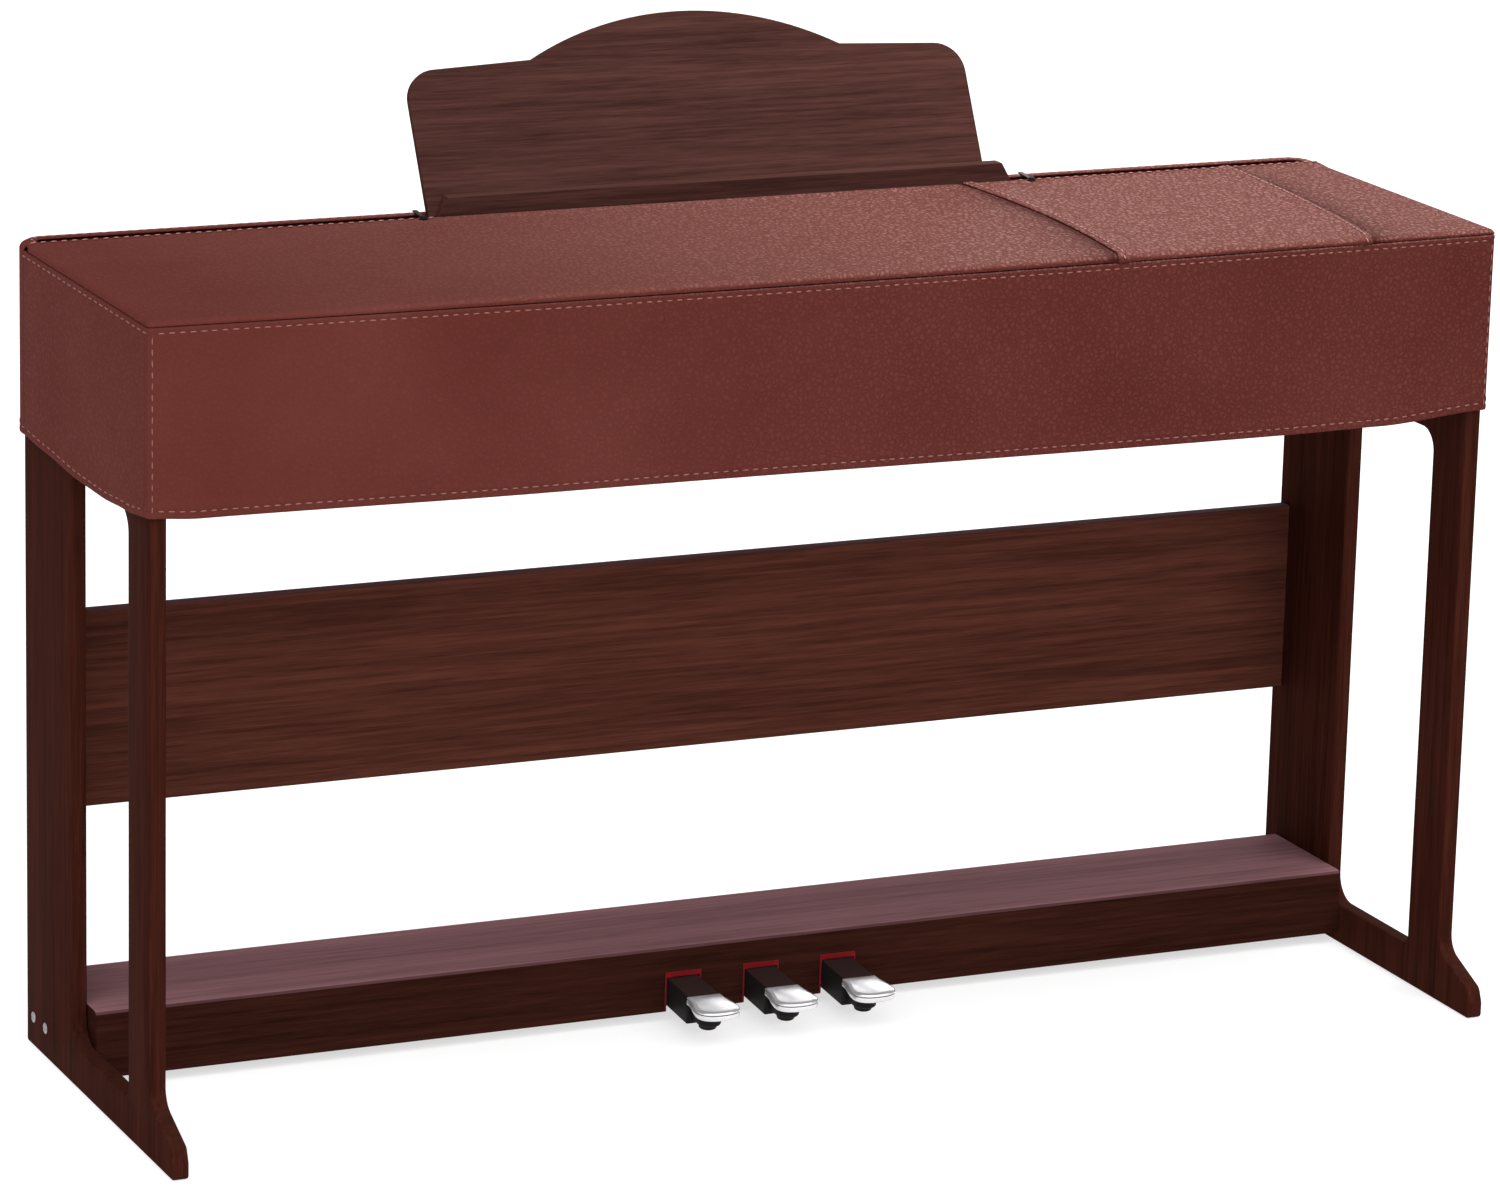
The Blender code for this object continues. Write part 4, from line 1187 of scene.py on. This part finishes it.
def add_rings(shape, rings, place, peak=None):
    """Adds a closed skin through rings of points, from the lowest ring to the highest, or on to a peak."""
    levels = [[shape.verts.new(place @ Vector(point)) for point in ring] for ring in rings]
    count = len(levels[0])
    for low, high in zip(levels, levels[1:]):
        for k in range(count):
            shape.faces.new((low[k], low[(k + 1) % count], high[(k + 1) % count], high[k]))
    shape.faces.new(levels[0][::-1])
    if peak is None:
        shape.faces.new(levels[-1])
        return
    top = shape.verts.new(place @ Vector(peak))
    for k in range(count):
        shape.faces.new((levels[-1][k], levels[-1][(k + 1) % count], top))


def cap_outline(steps=36):
    """Points round the toe, from its right side, over the nose, to its left side and across the back."""
    points = []
    for k in range(steps + 1):
        across = cos(pi * k / steps)
        half = CAP_HALF * abs(across) ** 0.8
        points.append(Vector((half if across > 0 else -half, CAP_NOSE * (1 - sin(pi * k / steps) ** 0.8))))
    side = []
    for share in spread(0.0, 1.0, 0.1)[1:]:
        half = CAP_BACK_HALF + (CAP_HALF - CAP_BACK_HALF) * (1 - smooth(share * 1.05) ** 0.9)
        side.append((half, CAP_NOSE + (CAP_END - CAP_TIP - CAP_NOSE) * share))
    return points + [Vector((-a, b)) for a, b in side] + [Vector(point) for point in side[::-1]]


def toe_cap(word):
    outline = cap_outline()
    inner = Vector((0, (CAP_END - CAP_TIP) * 0.5))
    rings = [[(*(point + (inner - point).normalized() * inset), height) for point in outline]
             for height, inset, _ in CAP_RINGS]
    shape = bmesh.new()
    add_rings(shape, rings, PEDAL_TURN @ Matrix.Translation((PEDAL_X[word], CAP_TIP, CAP_LOW)))
    mesh = mesh_from(shape, "toe_cap_" + word, 40)
    # Painted shade stored for each point, ring by ring.
    store = mesh.attributes.new("painted_shade", "FLOAT", "POINT")
    painted_shade = [dark for _, _, dark in CAP_RINGS for _ in outline]
    for k, dark in enumerate(painted_shade):
        store.data[k].value = dark
    made = make_object("toe_cap_" + word, mesh, METAL)
    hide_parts("pedal_cap_" + word)
    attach(made, "pedal_" + word)


for word in PEDAL_X:
    toe_cap(word)

# %% [markdown]
# ## Pedal levers
# Behind its cap each pedal is a black moulding: a deep bar that runs into the box and turns on a pin there,
# and a round stem under the toe. Five plain shapes are joined by booleans, so that one closed skin is left.

# %% A pedal's lever and stem
LEVER_HALF = 0.0168
LEVER_LOW = 0.019           # underside of the bar, and the foot of the stem
LEVER_TOP = 0.048
STEM_Y = BOX_FRONT - 0.0655
STEM_TOP = 0.0391           # the stem ends just under the cap
STEMS = (                   # place behind the stem's middle, foot, top, radius, easing
    (0.0, 0.0240, STEM_TOP, 0.0122, 0.0026),
    (0.0020, LEVER_LOW, 0.0300, 0.0090, 0.0024),
)
WEB_HALF = 0.0119           # a web under the cap joins the stem to the bar
WEB_LOW = 0.0245
PIN_HALF = 0.0236
PIN_THICK = 0.0048


def eased_box(x, half, low, high, bevel):
    """A box about x, between two corners (y, z), with its edges eased."""
    corners = ((x - half, *low), (x + half, *high))
    shape = bmesh.new()
    bmesh.ops.create_cube(shape, size=1.0)
    for v in shape.verts:
        v.co = [a if c < 0 else b for c, a, b in zip(v.co, *corners)]
    bmesh.ops.bevel(shape, geom=shape.edges[:], offset=bevel, segments=3, profile=0.5, affect="EDGES")
    return make_object("eased_box", mesh_from(shape, "eased_box"), PLASTIC)


def column(x, y, low, high, radius, bevel):
    """An upright cylinder with its lower rim eased."""
    shape = bmesh.new()
    bmesh.ops.create_cone(shape, cap_ends=True, segments=40, radius1=radius, radius2=radius, depth=high - low)
    bmesh.ops.translate(shape, vec=(x, y, (low + high) / 2), verts=shape.verts)
    rim = [e for e in shape.edges if all(v.co.z < (low + high) / 2 for v in e.verts)]
    bmesh.ops.bevel(shape, geom=rim, offset=bevel, segments=4, profile=0.5, affect="EDGES")
    return make_object("column", mesh_from(shape, "column"), PLASTIC)


def lever(word):
    x = PEDAL_X[word]
    bar = eased_box(x, LEVER_HALF, (CAP_END + 0.0003, LEVER_LOW), (BOX_FRONT + 0.055, LEVER_TOP), 0.0016)
    tools = [eased_box(x, WEB_HALF, (STEM_Y, WEB_LOW), (CAP_END + 0.010, STEM_TOP), 0.0012)]
    tools += [column(x, STEM_Y + behind, *sizes) for behind, *sizes in STEMS]
    pin_low, pin_high = ((PIVOT.y + way, PIVOT.z + way) for way in (-PIN_THICK / 2, PIN_THICK / 2))
    tools.append(eased_box(x, PIN_HALF, pin_low, pin_high, 0.0010))
    for tool in tools:
        union = bar.modifiers.new("join", "BOOLEAN")
        union.operation = "UNION"
        union.solver = "EXACT"
        union.object = tool
    mesh = final_mesh(bar)
    for tool in tools:
        bpy.data.objects.remove(tool)
    mesh.transform(PEDAL_TURN)
    mesh.shade_smooth()
    mesh.set_sharp_from_angle(angle=radians(35))
    made = make_object("lever_moulding_" + word, mesh, PLASTIC)
    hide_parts("pedal_lever_" + word)
    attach(made, "pedal_" + word)
    print(made.name, len(mesh.polygons), "faces")


for word in PEDAL_X:
    lever(word)

# %% [markdown]
# ## Felt round the slots
# A red felt strip lines each slot in the box, so that the pedal doesn't knock. It is cut as a narrow arch.
# Its skin is divided finely and pushed about by noise, which gives the soft, slightly ragged edge of felt.

# %% Felt strips
FELT_GAP = 0.0008           # between a lever and the felt beside it
FELT_WIDE = 0.0014
FELT_LOW = 0.0115
FELT_LINE = 0.0458          # underside of the strip over the lever
FELT_TOP = 0.0510
FELT_FUZZ = 0.00016


def felt_strip(word):
    inner = LEVER_HALF + FELT_GAP
    outer = inner + FELT_WIDE
    path = [
        (-outer, FELT_LOW), (-inner, FELT_LOW), (-inner, FELT_LINE), (inner, FELT_LINE), (inner, FELT_LOW),
        (outer, FELT_LOW), (outer, FELT_TOP), (-outer, FELT_TOP),
    ]
    outline = []
    for (a, b), (c, d) in zip(path, path[1:] + path[:1]):
        count = max(1, round(max(abs(c - a), abs(d - b)) / 0.0009))
        outline += [(a + (c - a) * k / count, b + (d - b) * k / count) for k in range(count)]
    place = Matrix.Translation((PEDAL_X[word], BOX_FRONT - 0.0009, 0)) @ Matrix.Rotation(pi / 2, 4, "X")
    made = plate("felt_strip_" + word, [outline], 0.0012, FELT, 0.0004, 2, place)
    for v in made.data.vertices:
        x, y, z = v.co * 1000
        v.co.x += FELT_FUZZ * ripple(x, y, z, 1.3, 1.0)
        v.co.z += FELT_FUZZ * ripple(x, y, z, 1.3, 6.0)
    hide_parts("felt_" + word)
    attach(made, "piano")


for word in PEDAL_X:
    felt_strip(word)

# %% [markdown]
# ## Screws
# Two domed screws pin the back of each side frame. Their heads are stacked rings too, with a cross pressed
# into the upper ones.

# %% The screws' heads
def circle(radius, height, count=24):
    turns = [2 * pi * k / count for k in range(count)]
    return [(radius * cos(a), radius * sin(a), height) for a in turns]


SCREW_RINGS = (             # radius, height
    (0.0055, 0.0), (0.0055, 0.0003), (0.0051, 0.0008), (0.0042, 0.0012), (0.0030, 0.0015), (0.0018, 0.00165),
)
CROSS_REACH = 0.0035
CROSS_HALF = 0.0006
CROSS_DEEP = 0.0009


def screws():
    levels = []
    for radius, height in SCREW_RINGS:
        level = []
        for x, y, z in circle(radius, height):
            in_cross = radius < CROSS_REACH and min(abs(x), abs(y)) < CROSS_HALF
            level.append((x, y, z - CROSS_DEEP if in_cross else z))
        levels.append(level)
    shape = bmesh.new()
    for side in (-1, 1):
        outward = Matrix.Rotation(side * pi / 2, 4, "Y")
        for y in (MID_Y + 0.150, MID_Y + 0.114):
            place = Matrix.Translation((side * (FRAME_X + 0.0002), y, 0.030)) @ outward
            add_rings(shape, levels, place, peak=(0, 0, 0.0007))
    made = make_object("screws", mesh_from(shape, "screws"), SCREW_METAL)
    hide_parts("screw_left_rear", "screw_left_fore", "screw_right_rear", "screw_right_fore")
    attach(made, "piano")


screws()

# %% [markdown]
# ## Hooks across the slit
# Two small black hooks hold the slit's edges together beside the music rest. Each is a flat strap with a
# round eye, over a domed button.

# %% The hooks and their buttons
def arc(radius, middle, from_degrees, to_degrees, steps):
    """Points on an arc about a place on the strap, turned from its -Y side."""
    turns = [radians(from_degrees + (to_degrees - from_degrees) * k / steps) for k in range(steps + 1)]
    return [Vector((radius * sin(a), middle - radius * cos(a))) for a in turns]


HOOK_REACH = 0.0175         # from the strap's middle to the middle of each round end
HOOK_EYE = 0.0042
HOOK_TAIL = 0.0030
HOOK_THICK = 0.0014
HOOK_LEAN = Matrix.Rotation(radians(-8), 4, "Z")
BUTTON_RINGS = ((0.0033, 0.0), (0.0034, 0.0006), (0.0031, 0.0013), (0.0023, 0.0018), (0.0012, 0.0020))


def hook(word, x):
    outline = arc(HOOK_EYE, -HOOK_REACH, -155, 155, 24) + arc(HOOK_TAIL, HOOK_REACH, 110, 250, 12)
    place = Matrix.Translation((x, SLIT + 0.010, TOP + 0.0023)) @ HOOK_LEAN
    strap = plate("hook_strap_" + word, [outline], HOOK_THICK, PLASTIC, 0.0005, 2, place)
    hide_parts("hook_" + word)
    over_eye = place @ Matrix.Translation((0, -HOOK_REACH, 0.0008))
    shape = bmesh.new()
    add_rings(shape, [circle(*ring) for ring in BUTTON_RINGS], over_eye)
    button = make_object("hook_button_" + word, mesh_from(shape, "hook_button_" + word), PLASTIC)
    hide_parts("button_" + word)
    for piece in (strap, button):
        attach(piece, "piano")


hook("left", -0.2895)
hook("right", 0.3615)

# %% [markdown]
# ## Room, lights and camera
# The floor is a plain, pale light table, and the sky dim, so that the floor fills the object from below. A
# broad, soft sun from the front lights both. Two lamps then shape the top: a soft box behind on the right,
# low enough to skim the cloth and draw the sheen on its grain, and a soft spot above the same end.

# %% Floor and sky
def floor():
    made, tree, shader = finish("pale_floor", 0.9, specular=0.0)
    cloud = noise_node(tree, place_on_object(tree), 0.8, 1.0).outputs["Fac"]
    pale = ramp(tree, cloud, [(0.3, (0.50, 0.50, 0.50)), (0.7, (0.52, 0.52, 0.52))])
    coated(tree, shader, pale)
    feed(tree, shader.inputs["Emission Color"], pale)
    shader.inputs["Emission Strength"].default_value = 1.25
    mesh = bpy.data.meshes.new("floor")
    corners = [(-60, -60, -0.0005), (60, -60, -0.0005), (60, 60, -0.0005), (-60, 60, -0.0005)]
    mesh.from_pydata(corners, [], [(0, 1, 2, 3)])
    make_object("floor", mesh, made)


floor()
sky = bpy.data.worlds.new("studio")
sky.use_nodes = True
sky.node_tree.nodes["Background"].inputs["Color"].default_value = (1.0, 1.0, 1.0, 1)
sky.node_tree.nodes["Background"].inputs["Strength"].default_value = 0.25
scene.world = sky
scene.view_settings.view_transform = "Standard"
scene.view_settings.look = "None"


# %% Soft lights
def lamp(name, kind, at, towards, power, **settings):
    made = bpy.data.lights.new(name, kind)
    made.energy = power
    for key, value in settings.items():
        setattr(made, key, value)
    holder = bpy.data.objects.new(name, made)
    holder.location = at
    holder.rotation_euler = (Vector(towards) - Vector(at)).to_track_quat("-Z", "Y").to_euler()
    scene.collection.objects.link(holder)


BOX_WIDE = 2.2
BOX_HIGH = 1.3
lamp("front_sun", "SUN", (-1.0, -5.0, 9.0), (0, 0, 0), 3.7, angle=radians(100))
lamp(
    "skimming_box", "AREA", (3.1, 4.3, 2.0), (0.45, 0.0, 0.79), 4.0 * pi * BOX_WIDE * BOX_HIGH,
    shape="RECTANGLE", size=BOX_WIDE, size_y=BOX_HIGH)
lamp(
    "top_spot", "SPOT", (0.80, -0.10, 2.90), (0.46, 0.0, 0.79), 130.0,
    spot_size=radians(40), spot_blend=1.0, shadow_soft_size=0.30)

# %% The camera, at the photograph's viewing angle
PHOTO_WIDE = 1500
FOCAL_PIXELS = 6455         # focal length, in the photograph's pixels
EYE = (-2.5123, -5.5108, 2.0229)

camera = bpy.data.cameras.new("camera")
camera.sensor_width = 36.0
camera.lens = FOCAL_PIXELS / PHOTO_WIDE * camera.sensor_width
camera.clip_end = 100
yaw, pitch, roll = (radians(a) for a in (24.46, 14.808, 1.427))
forward = Vector((sin(yaw) * cos(pitch), cos(yaw) * cos(pitch), -sin(pitch)))
right = Vector((cos(yaw), -sin(yaw), 0))
above = right.cross(forward)
tilted_right = right * cos(roll) + above * sin(roll)
tilted_above = above * cos(roll) - right * sin(roll)
view_from = bpy.data.objects.new("camera", camera)
turned = Matrix((tilted_right, tilted_above, -forward)).transposed().to_4x4()
view_from.matrix_world = Matrix.Translation(EYE) @ turned
scene.collection.objects.link(view_from)
scene.camera = view_from
